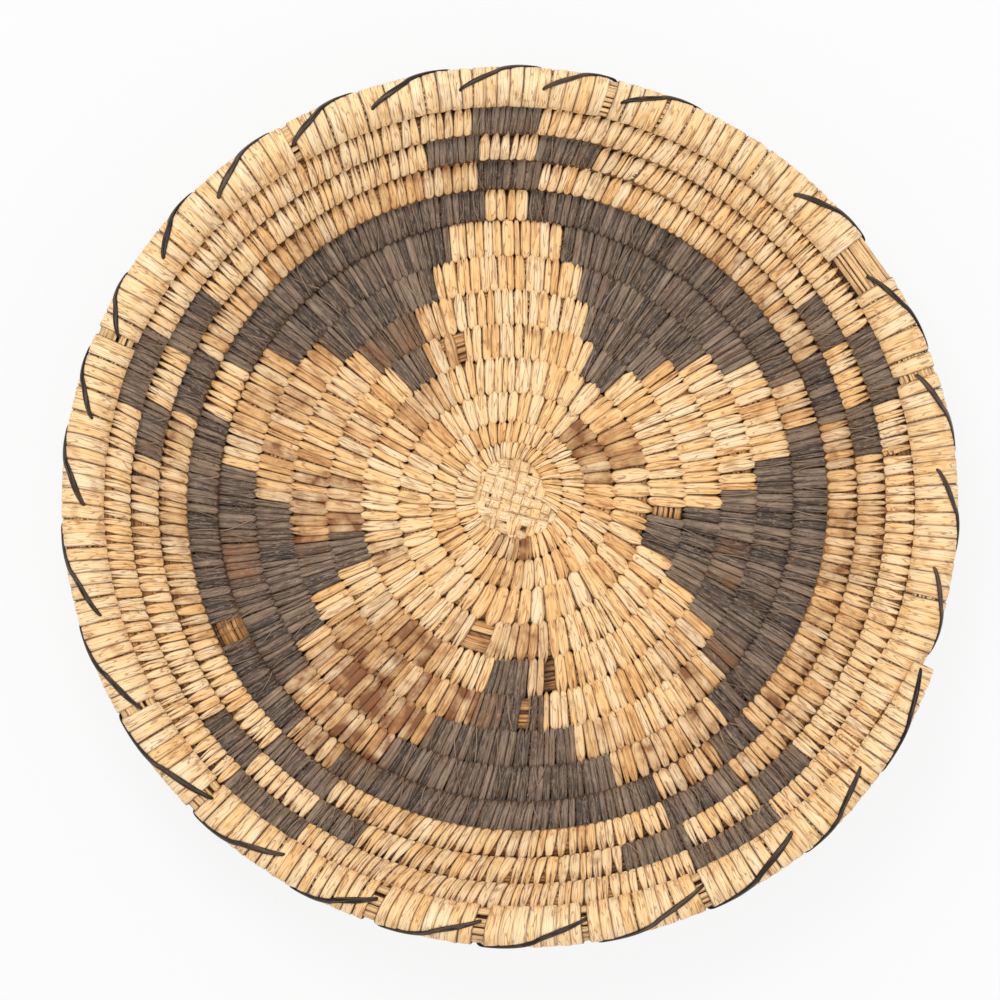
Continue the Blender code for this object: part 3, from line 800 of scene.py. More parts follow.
def row_way(home, stitch, high):
    """Steps of stitches round a row: across, up, travel, and widths at both ends."""
    wide = home.wide[:, None]
    scale = np.minimum(wide / FULL_HALF_WIDTH, 1) * MM
    square, straight = stitch["square"], stitch["straight"]
    inner = -wide + stitch["near"] - FLAT_INWARD * (1 - square) * scale
    outer = wide + stitch["far"] + changed(OVERHANG, square) * scale + stitch["reach"]
    first = inner + np.array(TOP_IN) * scale
    last = outer - np.array(TOP_OUT) * scale
    gap = last[:, :1] - first[:, -1:]
    top = np.concatenate((first, first[:, -1:] + gap * np.array((1 / 3, 2 / 3)), last), 1)
    under = np.concatenate((outer - np.array(UNDER_OUT) * scale, (inner + outer) / 2,
                            inner + np.array(UNDER_IN) * scale), 1)
    near, far = inner + TUCK * scale, outer - TUCK * scale

    def dome(x):
        """Height of a stitch's face, which on the wall sinks where it passes the groove."""
        power = changed(DOME_POWER, square)
        past = np.maximum(x - wide, 0)
        share = abs(x - 2 * past * square) / (changed(DOME_WIDTH, square) * wide)
        share = np.minimum(share, changed(DOME_MOST, square))
        sunk = DOME_SINK * square * np.minimum(past, scale)
        return high * (1 - share**power) ** (1 / power) - sunk

    after_near, before_far, after_far, before_near = (high * part for part in TUCK_HEIGHTS)
    across = np.concatenate((near, top, far, far, under, near), 1)
    up = np.concatenate((after_near, dome(top), before_far, after_far, -dome(under),
                         before_near), 1)
    at_inner = tapered(across - inner, changed(INNER_LENGTH, straight) * scale,
                       changed(INNER_POWER, straight), changed(INNER_WIDTH, straight))
    length = changed(POINT_LENGTH, square) * stitch["taper"] * scale
    at_outer = tapered(outer - across, length, POINT_POWER, stitch["point"])
    travel = np.clip((across - inner) / (outer - inner), 0, 1)
    return across, up, travel, at_inner, at_outer


def rim_way(home, stitch, high):
    """Steps of wraps round the rim: across, up, travel, and widths at both ends."""
    x, z = around(np.radians(RIM_ANGLES), ROUND)
    size = home.wide[:, None] / (RIM_WIDTH / 2)
    stretch = stitch["stretch"] * np.clip((-x - 0.5) / 0.5, 0, 1) * size
    across = x * home.wide[:, None] - stretch
    up = z * high
    at_inner = np.broadcast_to(RIM_WIDTHS, across.shape)
    travel = np.clip((x + 1) / 2, 0, 1) * np.ones_like(across)
    return across, up, travel, at_inner, np.ones_like(across)


def around(angle, power):
    """A rounded box outline, as shares of its half sizes."""
    c, s = np.cos(angle), np.sin(angle)
    return (np.sign(c) * abs(c) ** (2 / power), np.sign(s) * abs(s) ** (2 / power))


def fibre_places(along, across):
    """Places along and across the fibres, for every point of every ring."""
    return np.stack(np.broadcast_arrays(along, across), -1)


def splint_face(stitch, travel, opened):
    """Across each step of stitches: places, heights, and how deep the middle is split."""
    side = np.array(SPLINT_SIDES)
    facing = np.arange(len(side)) < FACE_POINTS
    u = np.broadcast_to(side, (*travel.shape, len(side))).copy()
    u[:, :, SPLIT_POINT - 1:SPLIT_POINT + 2] += stitch["split"][..., None]
    swell = np.broadcast_to(SPLINT_HEIGHTS, u.shape).copy()
    wrinkle = np.zeros((len(travel), 1, len(side)))
    wrinkle[:, 0, :FACE_POINTS] = stitch["wrinkle"]
    swell += np.where(facing, wrinkle * (1 - abs(u) ** 4), 0)
    swell += np.where(facing, u, 0) * stitch["roll"][..., None]
    swell -= np.where(facing, u * u, 0) * stitch["arch"][..., None]
    fork = stitch["fork"] * (opened > 0.02)
    forked = fork * (FORK_DEPTH + FORK_DEEPENING * opened)
    groove = np.clip(stitch["groove"] * travel + forked, 0, GROOVE_MOST)
    swell[:, :, SPLIT_POINT] -= groove
    return u, swell, groove


def splint_width(stitch, u, travel, at_inner, at_outer):
    """How far along the coil each point of a splint lies from the splint's middle."""
    at_inner, at_outer = at_inner[..., None], at_outer[..., None]
    middle = np.sign(SPLINT_SIDES) * 0.5
    strands = (0.6 + 0.4 * at_outer) * (middle + (u - middle) * at_outer)
    y = stitch["width"][..., None] / 2 * np.where(
        stitch["fork"][..., None] > 0, at_inner * strands, np.minimum(at_inner, at_outer) * u)
    y = y * (1 + stitch["fan"] * travel)[..., None]
    return y + (stitch["bend"] * np.sin(math.pi * travel))[..., None]


def ribbon_points(sections, stitches, way, thickness):
    """Rings of flat splints laid round the coil along a way, their fibres and finish."""
    count = len(stitches)
    stitch = {key: np.array([one[key] for one in stitches], float).reshape(count, -1)
              for key in stitches[0]}
    place = stitch["place"]
    home = sections(place[:, 0])
    x, z, travel, at_inner, at_outer = way(home, stitch, (home.tall - thickness)[:, None])
    on_top = np.clip(np.sin(np.linspace(0, math.pi, x.shape[1])) * 1.5, 0, 1)
    z = z + stitch["lift"] * on_top * (z > 0)
    ahead = np.stack((np.gradient(x, axis=1), np.gradient(z, axis=1)), -1)
    slope = unit(ahead)[:, :, None]
    opened = 1 - at_outer
    u, swell, groove = splint_face(stitch, travel, opened)
    y = splint_width(stitch, u, travel, at_inner, at_outer)
    turns = (place + (stitch["tip"] - place) * travel)[..., None]
    there = sections(turns + y / turn_length(place)[..., None])
    out = swell * thickness
    uneven = (stitch["fork"] * stitch["strand"])[..., None] * np.sign(SPLINT_SIDES)
    px = x[..., None] - slope[..., 1] * out + uneven * opened[..., None]
    pz = z[..., None] + slope[..., 0] * out
    points = there.middle + there.across * px[..., None] + there.up * pz[..., None]
    points[..., 2] = np.maximum(points[..., 2], GROUND)
    reached = np.cumsum(np.hypot(ahead[..., 0], ahead[..., 1]), axis=1)
    offset = np.arange(count)[:, None, None] * STITCH_SHIFT
    across = stitch["width"][..., None] / 2 * np.array(SPLINT_UNROLLED)
    fibre = fibre_places(reached[..., None] + offset * 3, across + offset)
    # The edge colour's share at the edges, the split groove and both ends of a splint: painted
    # shade on tan splints, and on dark ones paler, for worn fibre and painted highlight
    edge = np.array(SPLINT_EDGES) * stitch["worn"][..., None] * np.ones_like(u)
    edge[:, :, SPLIT_POINT] = np.clip(groove * 1.6, 0, 1)
    ends = np.clip((0.04 - travel) / 0.04, 0, 1) * 0.6 + np.clip((0.5 - at_outer) / 0.4, 0, 1)
    finish = {
        "tone": stitch["tone"][..., None],
        "stain": stitch["stain"][..., None],
        "edge": np.maximum(edge, np.clip(ends, 0, 1)[..., None]),
    }
    return points, fibre, finish


def linear(code):
    """Linear colour of an sRGB hex code."""
    parts = [int(code[i:i + 2], 16) / 255 for i in (1, 3, 5)]
    return tuple(p / 12.92 if p <= 0.04045 else ((p + 0.055) / 1.055) ** 2.4 for p in parts)


def socket(sockets, name):
    """The socket with this identifier or name."""
    return next(s for s in sockets if name in (s.identifier, s.name))


def node(tree, kind, settings=None, values=None, links=None, ramp=None):
    """Add a node with its settings, input values, links and colour stops."""
    made = tree.nodes.new(kind)
    for key, value in (settings or {}).items():
        setattr(made, key, value)
    for key, value in (values or {}).items():
        socket(made.inputs, key).default_value = value
    for key, (source, output) in (links or {}).items():
        tree.links.new(socket(source.outputs, output), socket(made.inputs, key))
    for i, (place, colour) in enumerate(ramp or ()):
        stops = made.color_ramp.elements
        stop = stops[i] if i < 2 else stops.new(place)
        stop.position = place
        stop.color = (*colour, 1)
    return made


def new_material(name):
    """An empty material and its node tree."""
    made = bpy.data.materials.new(name)
    made.use_nodes = True
    made.node_tree.nodes.clear()
    return made, made.node_tree


def fibre_material(name, colours, gloss, streaks, relief, ior):
    """Plant fibre: long streaks along a splint, with fine lines, patches and edges.

    Real fibres lie 0.1 to 0.2 mm apart, too fine to show in a picture of the whole tray, so
    the streaks are drawn two to five times as coarse.

    colours are the palest streak, the middle one, the deepest one, the stain, the edge and
    the lines of the grain. The edge colour is painted on edges, ends and grooves: painted
    shade on tan splints and the lacing, and on dark splints worn fibre with painted highlight.
    gloss is the range of the roughness. streaks are the length and width in millimetres of
    the fine and the coarse ones and of the lines, and how much detail each has. relief is
    how deep the streaks are, in metres. ior starts from the 1.5 of wood and is lower where
    the real surface shines less.
    """
    pale, middle, deep, stain, edge, grain = colours
    made, tree = new_material(name)
    place = node(tree, "ShaderNodeUVMap", {"uv_map": "fibre"})
    tone, stained, edge_shading_mask = (
        node(tree, "ShaderNodeAttribute", {"attribute_name": name}) for name in FINISH)
    noises = []
    for long, wide, detail in streaks:
        scale = (1 / (long * MM), 1 / (wide * MM), 1)
        spread = node(tree, "ShaderNodeMapping", values={"Scale": scale},
                      links={"Vector": (place, "UV")})
        noises.append(node(tree, "ShaderNodeTexNoise", {"noise_dimensions": "2D"},
                           {"Scale": 1.0, "Detail": detail, "Roughness": 0.6},
                           {"Vector": (spread, "Vector")}))
    fine, coarse, lines = noises
    spot = node(tree, "ShaderNodeTexCoord")
    patch = node(tree, "ShaderNodeTexNoise", None, {"Scale": 1 / PATCH_SIZE, "Detail": 4.0},
                 {"Vector": (spot, "Object")})
    shade = None
    for source, share in zip((fine, coarse, patch, tone), SHADE_SHARES):
        links = {"Value": (source, "Fac")}
        if shade:
            links["Value_002"] = (shade, "Value")
        shade = node(tree, "ShaderNodeMath", {"operation": "MULTIPLY_ADD"},
                     {"Value_001": share, "Value_002": SHADE_START}, links)
    lower = node(tree, "ShaderNodeMath", {"operation": "SUBTRACT", "use_clamp": True},
                 {"Value_001": SHADE_PALEST}, {"Value": (shade, "Value")})
    colour = node(tree, "ShaderNodeValToRGB", links={"Fac": (lower, "Value")},
                  ramp=((0.0, pale), (0.48, middle), (1.0, deep)))
    blotch = node(tree, "ShaderNodeMapRange", None,
                  {"From Min": 0.57, "From Max": 0.8, "To Min": 0.0, "To Max": 0.5},
                  {"Value": (patch, "Fac")})
    soak = node(tree, "ShaderNodeMath", {"operation": "MULTIPLY_ADD"},
                {"Value_001": 2.6, "Value_002": -0.55}, {"Value": (patch, "Fac")})
    soaked = node(tree, "ShaderNodeMath", {"operation": "MULTIPLY_ADD", "use_clamp": True},
                  links={"Value": (stained, "Fac"), "Value_001": (soak, "Value"),
                         "Value_002": (blotch, "Result")})
    centred = node(tree, "ShaderNodeMath", {"operation": "SUBTRACT"}, {"Value_001": 0.5},
                   {"Value": (lines, "Fac")})
    away = node(tree, "ShaderNodeMath", {"operation": "ABSOLUTE"},
                links={"Value": (centred, "Value")})
    line = node(tree, "ShaderNodeMapRange", None,
                {"From Min": 0.0, "From Max": LINE_WIDTH, "To Min": 0.75, "To Max": 0.0},
                {"Value": (away, "Value")})
    # Share of the edge colour: painted shade, or on dark splints worn fibre with painted
    # highlight
    worn = node(tree, "ShaderNodeMath", {"operation": "MULTIPLY", "use_clamp": True},
                {"Value_001": 0.85}, {"Value": (edge_shading_mask, "Fac")})
    final = (colour, "Color")
    for tint, share in ((stain, (soaked, "Value")), (grain, (line, "Result")),
                        (edge, (worn, "Value"))):
        mixed = node(tree, "ShaderNodeMix", {"data_type": "RGBA"}, {"B_Color": (*tint, 1)},
                     {"Factor_Float": share, "A_Color": final})
        final = (mixed, "Result_Color")
    low, high = gloss
    rough = node(tree, "ShaderNodeMapRange", None, {"To Min": low, "To Max": high},
                 {"Value": (fine, "Fac")})
    height = node(tree, "ShaderNodeMath", {"operation": "ADD"},
                  links={"Value": (fine, "Fac"), "Value_001": (coarse, "Fac")})
    bump = node(tree, "ShaderNodeBump", None, {"Strength": 1.0, "Distance": relief},
                {"Height": (height, "Value")})
    shader = node(tree, "ShaderNodeBsdfPrincipled", None, {"IOR": ior},
                  {"Base Color": final, "Roughness": (rough, "Result"),
                   "Normal": (bump, "Normal")})
    node(tree, "ShaderNodeOutputMaterial", links={"Surface": (shader, "BSDF")})
    return made


def tray_colours(*names):
    """The scene's colours of these names."""
    colours = bpy.context.scene.tray_colours
    return [tuple(getattr(colours, name)) for name in names]


@functools.cache
def scraped_tan_splint():
    """Split wood, scraped flat and dried in the sun: matt, creamy, with long fine grain."""
    colours = tray_colours("tan_pale", "tan", "tan_deep", "stain", "tan_edge_shade", "tan_grain")
    return fibre_material(
        "scraped_tan_splint", colours, gloss=(0.5, 0.7), relief=0.00008, ior=1.45,
        streaks=((6, 0.34, 4.0), (9, 0.9, 2.0), (11, 1.1, 1.0)))


@functools.cache
def dyed_dark_splint():
    """Splint boiled in black dye: fibrous, brown-black, with a slight silky sheen."""
    colours = tray_colours("dark_pale", "dark", "dark_deep", "dark_stain", "dark_edge_wear_and_highlight",
                           "dark_grain")
    return fibre_material(
        "dyed_dark_splint", colours, gloss=(0.42, 0.62), relief=0.00018, ior=1.38,
        streaks=((5, 0.32, 4.0), (9, 0.7, 2.0), (6, 0.5, 2.0)))


@functools.cache
def dry_grass():
    """Stems of dry grass: round, ribbed lengthwise and orange-brown where they age."""
    colours = tray_colours("grass_pale", "grass", "grass_deep", "stain", "grass_deep",
                           "grass_deep")
    return fibre_material(
        "dry_grass", colours, gloss=(0.45, 0.65), relief=0.00005, ior=1.45,
        streaks=((9, 0.25, 3.0), (30, 1.5, 2.0), (20, 0.6, 1.0)))


@functools.cache
def rolled_dark_splint():
    """Dyed splint rubbed smooth where it wraps the rim: darker, with a soft shine, pale streaks
    of painted sheen, and painted shade along its sides.
    """
    colours = tray_colours("lacing_pale", "lacing", "lacing_deep", "lacing", "lacing_deep",
                           "lacing_pale")
    return fibre_material(
        "rolled_dark_splint", colours, gloss=(0.2, 0.32), relief=0.00005, ior=1.3,
        streaks=((9, 0.35, 4.0), (16, 0.9, 2.0), (14, 0.9, 1.0)))


def finish_piece(made, material, slot, *nodes):
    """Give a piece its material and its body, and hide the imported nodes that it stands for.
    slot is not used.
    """
    made.data.materials.append(material)
    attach(made, "root")
    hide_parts(*nodes)
    return made


def add_stitches(name, stitches, sections, way, thickness):
    """One piece of sewing or wrapping, made of all its stitches."""
    points, fibre, finish = ribbon_points(sections, stitches, way, thickness)
    made = tubes_object(f"stitches_{name}", points, fibre, finish)
    if is_dark(name):
        return finish_piece(made, dyed_dark_splint(), "dark_splint", name)
    return finish_piece(made, scraped_tan_splint(), "tan_splint", name)


def add_sewing(context, wanted):
    """The pieces of sewing whose names begin as wanted."""
    sizes = context.scene.tray_sizes
    made, _ = sewing(sizes.tan_pitch, sizes.dark_pitch)
    for name, stitches in made.items():
        if name.startswith(wanted):
            thickness = sizes.dark_thickness if is_dark(name) else sizes.tan_thickness
            add_stitches(name, stitches, row_sections, row_way, thickness)


def straw_tubes(turns, straws, draw, sizes):
    """Stems side by side round the coil, each wandering a little, and a packed middle."""
    place = coil_sections(turns)
    inset = sizes.tan_thickness + sizes.straw_width * STEM_INSET
    spin = draw.uniform(0, math.tau, straws)[:, None]
    sway = SWAY * np.sin(turns * draw.uniform(*SWAY_BENDS, straws)[:, None] + spin)
    angle = np.linspace(0, math.tau, straws, endpoint=False)[:, None] + sway
    x, y = around(angle, read(BUNDLE_POWER, turns))
    roomy = (turns > RIM_START) & (x > 0.5)
    x = x * (place.wide - inset * np.where(roomy, RIM_INSET, ROW_INSET))
    y = y * (place.tall - inset)
    thick = draw.uniform(*STEM_WIDTHS, straws)[:, None] * sizes.straw_width / 2
    thick = thick * (1 + SWELL * np.sin(turns * SWELL_COUNT + spin))
    # Grass squeezed out on the outer side draws in where no row lies outside
    exposed = np.clip((turns - RIM_END + 1) / 0.02, 0, 1)
    for middle_x, middle_y, radius in STRAW_MIDDLE:
        middle_x = middle_x * (1 - (0.5 * exposed if middle_x > 1 else 0))
        x = np.concatenate((x, [middle_x * place.wide]))
        y = np.concatenate((y, [middle_y * place.tall]))
        angle = np.concatenate((angle, np.full((1, len(turns)), 0.5)))
        thick = np.concatenate((thick, [radius * np.maximum(place.wide / 5.5, 0.8 * MM)]))
    middle = place.middle + place.across * x[..., None] + place.up * y[..., None]
    out = unit(place.across * np.cos(angle)[..., None] + place.up * np.sin(angle)[..., None])
    _, along = heading(turns)
    beside = unit(np.cross(along, out))
    ring = np.linspace(0, math.tau, STEM_SIDES, endpoint=False)
    return (middle[:, :, None]
            + out[:, :, None] * (np.cos(ring) * thick[..., None])[..., None]
            + beside[:, :, None] * (np.sin(ring) * thick[..., None])[..., None])


def add_grass(context):
    """The grass bundle: stems laid along the whole spiral round a packed middle."""
    sizes = context.scene.tray_sizes
    draw = np.random.default_rng(GRASS_SEED)
    turns = np.arange(GRASS_START, RIM_END, GRASS_STEP)
    points = straw_tubes(turns, sizes.straw_count, draw, sizes)
    straws, steps, sides = points.shape[:3]
    length = np.cumsum(np.full(steps, GRASS_STEP) * turn_length(turns))
    offset = np.arange(straws)[:, None, None] * STEM_SHIFT
    ring = np.arange(sides + 1) / sides * math.pi
    fibre = fibre_places(length[:, None] + offset, sizes.straw_width * ring + offset)
    tone = np.repeat(draw.beta(2, 2, straws)[:, None], steps, 1)
    tone[:, turns > WALL_START] += WALL_TONE
    tone[:, turns > RIM_START] += RIM_TONE
    # The packed middle is darkened as painted shade in the hollows between the rows
    tone[sizes.straw_count:] = PACKED_SHADED_TONE
    for name, first, last in design_runs():
        if is_dark(name):
            tone[:, (turns > first - GRASS_STEP) & (turns < last + GRASS_STEP)] = COVERED_TONE
    stems = tone[:sizes.straw_count]
    for row, start, end in BARE:
        inside = (turns > turn(row, end)) & (turns < turn(row, start))
        stems[:, inside] = stems[:, :1] * (BARE_WALL_TONE if row > WALL_START
                                           else BARE_FLAT_TONE)
    finish = dict(zip(FINISH, (tone[:, :, None], np.zeros(1), np.zeros(1))))
    made = tubes_object("grass_bundle", points, fibre, finish, 40.0)
    finish_piece(made, dry_grass(), "grass_bundle", "foundation_coil")


def start_outline(angle):
    """Radius of the plaited start at an angle from the X axis."""
    turns = COIL_START + np.mod(angle / math.tau - 0.25 - COIL_START, 1)
    outward, _ = heading(turns)
    return np.linalg.norm(wall(turns - 0.5, outward)[..., :2], axis=-1)


def plait_splint(face, family, i, pitch, widths, past, draw):
    """One splint of the plait, over one and under one: its rings and fibre places."""
    tilt = PLAIT_TILT + family * math.pi / 2 + draw.normal(0, PLAIT_SKEW) * abs(face)
    along = np.array((math.cos(tilt), math.sin(tilt)))
    side = np.array((-along[1], along[0]))
    offset = side * ((i + 0.5) * pitch + draw.normal(0, PLAIT_STRAY))
    ends = [plait_end(along * way, offset, past) for way in (-1, 1)]
    if min(ends) <= pitch * 0.3 * abs(face):
        return None
    s = np.linspace(-ends[0], ends[1], PLAIT_STEPS)
    weave = np.cos(math.pi * (s / pitch - 0.5)) * (-1) ** (i + family)
    to_end = np.minimum(s + ends[0], ends[1] - s)
    dip = np.clip(1 - to_end / (PLAIT_DIP_LENGTH * MM), 0, 1)
    swing = PLAIT_SWING * np.clip(weave * 1.6, -1, 1)
    level = (PLAIT_RISE + swing - PLAIT_DIP * dip**2) * MM
    half = pitch * 0.5 * draw.uniform(*widths)
    flat = along * s[:, None, None] + offset + side * (half * np.array(PLAIT_SIDES))[:, None]
    z = PLAIT_LEVEL + face * level[:, None] + (face or 1) * np.array(PLAIT_CROWN) * MM
    ring = np.concatenate((flat, z[..., None]), -1)
    past_along, past_across = (i * shift for shift in PLAIT_SHIFTS)
    across = half * np.array(PLAIT_UNROLLED)
    fibre = fibre_places(s[:, None] + past_along, across + past_across)
    return ring if face >= 0 else ring[:, ::-1], fibre


def add_start(context):
    """The checker-plaited start: two sets of flat splints on each face of the tray."""
    pitch = context.scene.tray_sizes.plait_pitch
    draw = np.random.default_rng(PLAIT_SEED)
    count = math.ceil((START_RADIUS + 4 * MM) / pitch)
    made = [plait_splint(face, family, i, pitch, widths, past, draw)
            for face, widths, past in PLAIT_LAYERS
            for family in (0, 1) for i in range(-count, count + 1)]
    rings, fibres = map(np.array, zip(*filter(None, made)))
    tone = draw.beta(2, 4, len(rings)) * 0.8
    stain = np.clip(draw.normal(-0.1, 0.15, len(rings)), 0, 1)
    # PLAIT_EDGES paint shade along the splints' edges
    finish = dict(zip(FINISH, (tone[:, None, None], stain[:, None, None],
                               np.array(PLAIT_EDGES))))
    made = tubes_object("plaited_start", rings, fibres, finish, 3.0)
    finish_piece(made, scraped_tan_splint(), "tan_splint", "start_plait")


def plait_end(direction, offset, past):
    """How far a plaited splint runs, to a little past where the first row covers it."""
    s = np.linspace(0, 20 * MM, 200)
    spots = direction * s[:, None] + offset
    inside = np.hypot(*spots.T) < start_outline(np.arctan2(spots[:, 1], spots[:, 0]))
    return s[inside].max() + past if inside[0] else 0


def add_rim(context):
    """The rim's wrapping."""
    sizes = context.scene.tray_sizes
    made = rim_sewing(sizes.rim_pitch, sizes.tan_pitch, sizes.dark_pitch)
    for name, wraps in made.items():
        add_stitches(name, wraps, coil_sections, rim_way, sizes.rim_thickness)


def lacing_loop(i, row, hole, edge, sizes, draw):
    """One loop of the rim's lacing: its rings and fibre places."""
    steps = np.arange(0, len(LACING_WAY) - 0.9, LACING_STEP)
    angle, part, lift = smooth_rows(LACING_WAY, steps).T
    angle = np.radians(angle)
    turns = np.minimum(turn(row, hole + (edge - hole) * part), RIM_END - 0.002)
    place = coil_sections(turns)
    x, y = around(angle, ROUND)
    rise = (lift + LACING_LIFT) * MM
    middle = (place.middle + place.across * (x * (place.wide + rise))[:, None]
              + place.up * (y * (place.tall + rise))[:, None])
    out = unit(place.across * np.cos(angle)[:, None] + place.up * np.sin(angle)[:, None])
    ahead = unit(np.gradient(middle, axis=0))
    beside = unit(np.cross(ahead, out))
    out = np.cross(beside, ahead)
    half = sizes.lacing_width / 2 * draw.uniform(*LACING_SPREAD)
    slim = read(LACING_WIDTHS, part)[:, None, None]
    high = np.array(LACING_HEIGHTS) * sizes.lacing_thickness / 2
    points = (middle[:, None] - beside[:, None] * slim * (np.array(LACING_SIDES) * half)[:, None]
              + out[:, None] * high[:, None])
    length = np.cumsum(np.linalg.norm(np.gradient(middle, axis=0), axis=1))
    across = np.array(LACING_UNROLLED) * half
    past_along, past_across = (i * shift for shift in LACING_SHIFTS)
    fibre = fibre_places(length[:, None] + past_along, across + past_across)
    return points, fibre


def add_lacing(context):
    """The dark splint that whips the rim, one loop for each stitch."""
    sizes = context.scene.tray_sizes
    draw = np.random.default_rng(RIM_SEED)
    for number, pairs in enumerate(RIM_LACING, 1):
        loops = [(LAST_ROW + 1, *pair) for pair in pairs]
        if number == len(RIM_LACING):
            # This strand is sewn round the rim's beginning, and then ties the coil's end down
            loops = [(LAST_ROW, *pair) for pair in pairs] + [(LAST_ROW + 1, *END_TIE)]
        made = [lacing_loop(i, *loop, sizes, draw) for i, loop in enumerate(loops)]
        points, fibres = map(np.array, zip(*made))
        tone = draw.beta(2, 2, len(loops))[:, None, None]
        # LACING_EDGES paint shade along the strand's sides
        finish = dict(zip(FINISH, (tone, np.zeros(1), np.array(LACING_EDGES))))
        name = f"rim_lacing_{number}"
        made = tubes_object(f"strand_{name}", points, fibres, finish)
        finish_piece(made, rolled_dark_splint(), "dark_splint", name)


def add_floor(scene):
    """A sheet of white paper beneath the tray."""
    floor = bpy.data.meshes.new("floor")
    half = FLOOR_HALF
    floor.from_pydata([(-half, -half, 0), (half, -half, 0), (half, half, 0), (-half, half, 0)],
                      [], [(0, 1, 2, 3)])
    ground = bpy.data.objects.new("floor", floor)
    ground.location.z = -FLOOR_DROP
    scene.collection.objects.link(ground)
    floor.materials.append(floor_paper())


def add_world(scene):
    """A soft white room. The camera sees it as plain white."""
    world = bpy.data.worlds.new("studio")
    scene.world = world
    world.use_nodes = True
    tree = world.node_tree
    tree.nodes.clear()
    light = node(tree, "ShaderNodeBackground",
                 values={"Color": (0.98, 0.99, 1.0, 1), "Strength": 0.86})
    seen = node(tree, "ShaderNodeBackground", values={"Color": (1, 1, 1, 1), "Strength": 0.98})
    camera_sees(tree, "World", (light, "Background"), (seen, "Background"))


def camera_sees(tree, output, lit, seen):
    """End a tree with what lights the scene and what only the camera sees in its place."""
    path = node(tree, "ShaderNodeLightPath")
    both = node(tree, "ShaderNodeMixShader", links={
        "Fac": (path, "Is Camera Ray"), "Shader": lit, "Shader_001": seen})
    node(tree, f"ShaderNodeOutput{output}", links={"Surface": (both, "Shader")})


def add_lamps(scene):
    """The lamps, all turned to the tray."""
    for name, spot, size, power in LAMPS:
        lamp = bpy.data.lights.new(name, "AREA")
        lamp.size = size
        lamp.energy = power
        holder = bpy.data.objects.new(name, lamp)
        holder.location = spot
        aim = -holder.location
        holder.rotation_euler = aim.to_track_quat("-Z", "Y").to_euler()
        scene.collection.objects.link(holder)


def add_camera(scene):
    """The camera above the tray, and a view that leaves colours as they are."""
    lens = bpy.data.cameras.new("camera")
    lens.sensor_width = SENSOR_WIDTH
    lens.lens = SENSOR_WIDTH * (CAMERA_HEIGHT - RIM_LEVEL) / FRAME_WIDTH
    lens.clip_end = 10 * CAMERA_HEIGHT
    camera = bpy.data.objects.new("camera", lens)
    camera.location = (*CAMERA_MIDDLE, CAMERA_HEIGHT)
    scene.collection.objects.link(camera)
    scene.camera = camera
    scene.view_settings.view_transform = "Standard"


def add_stage(context):
    """All that the tray is shown with."""
    for part in (add_floor, add_world, add_lamps, add_camera):
        part(context.scene)


def floor_paper():
    """White studio paper. The camera sees it lit almost to white, with a faint shadow.

    Its tooth is drawn about 1 mm wide, coarser than real paper's, so as to show at all.
    """
    made, tree = new_material("white_studio_paper")
    spot = node(tree, "ShaderNodeTexCoord")
    tooth = node(tree, "ShaderNodeTexNoise", None, {"Scale": 900.0, "Detail": 2.0},
                 {"Vector": (spot, "Object")})
    tint = node(tree, "ShaderNodeValToRGB", links={"Fac": (tooth, "Fac")},
                ramp=((0.3, linear("#F1F2F4")), (0.7, linear("#F5F6F7"))))
    paper = node(tree, "ShaderNodeBsdfDiffuse", links={"Color": (tint, "Color")})
    glow = node(tree, "ShaderNodeEmission", None, {"Strength": 0.97})
    seen = node(tree, "ShaderNodeMixShader", values={"Fac": 0.13},
                links={"Shader": (glow, "Emission"), "Shader_001": (paper, "BSDF")})
    camera_sees(tree, "Material", (paper, "BSDF"), (seen, "Shader"))
    return made


def colour_value(name, note, code):
    """A colour that a user can change, from its hex code."""
    return bpy.props.FloatVectorProperty(
        name=name, description=note, default=linear(code), subtype="COLOR", min=0, max=1)


def length_value(name, note, default):
    """A length that a user can change, in metres."""
    return bpy.props.FloatProperty(
        name=name, description=note, default=default, unit="LENGTH", precision=5)


class TraySizes(bpy.types.PropertyGroup):
    """Sizes of the splints and straws."""

    tan_pitch: length_value("Tan stitch", "Width of one tan stitch", 0.0030)
    dark_pitch: length_value("Dark stitch", "Width of one dark stitch", 0.0022)
    rim_pitch: length_value("Rim wrap", "Width of one wrap of the rim", 0.0040)
    tan_thickness: length_value("Tan thickness", "How far a tan stitch stands up", 0.0006)
    dark_thickness: length_value("Dark thickness", "How far a dark stitch stands up", 0.0005)
    rim_thickness: length_value("Rim thickness", "How far a rim wrap stands up", 0.0005)
    straw_width: length_value("Grass stem", "Width of one stem of grass", 0.0013)
    plait_pitch: length_value("Plait", "Width of one plaited splint", 0.0034)
    lacing_width: length_value("Lacing width", "Width of the rim's lacing", 0.0021)
    lacing_thickness: length_value("Lacing thickness", "Thickness of the lacing", 0.0010)
    straw_count: bpy.props.IntProperty(
        name="Grass stems", description="Stems round the bundle", default=24, min=6)


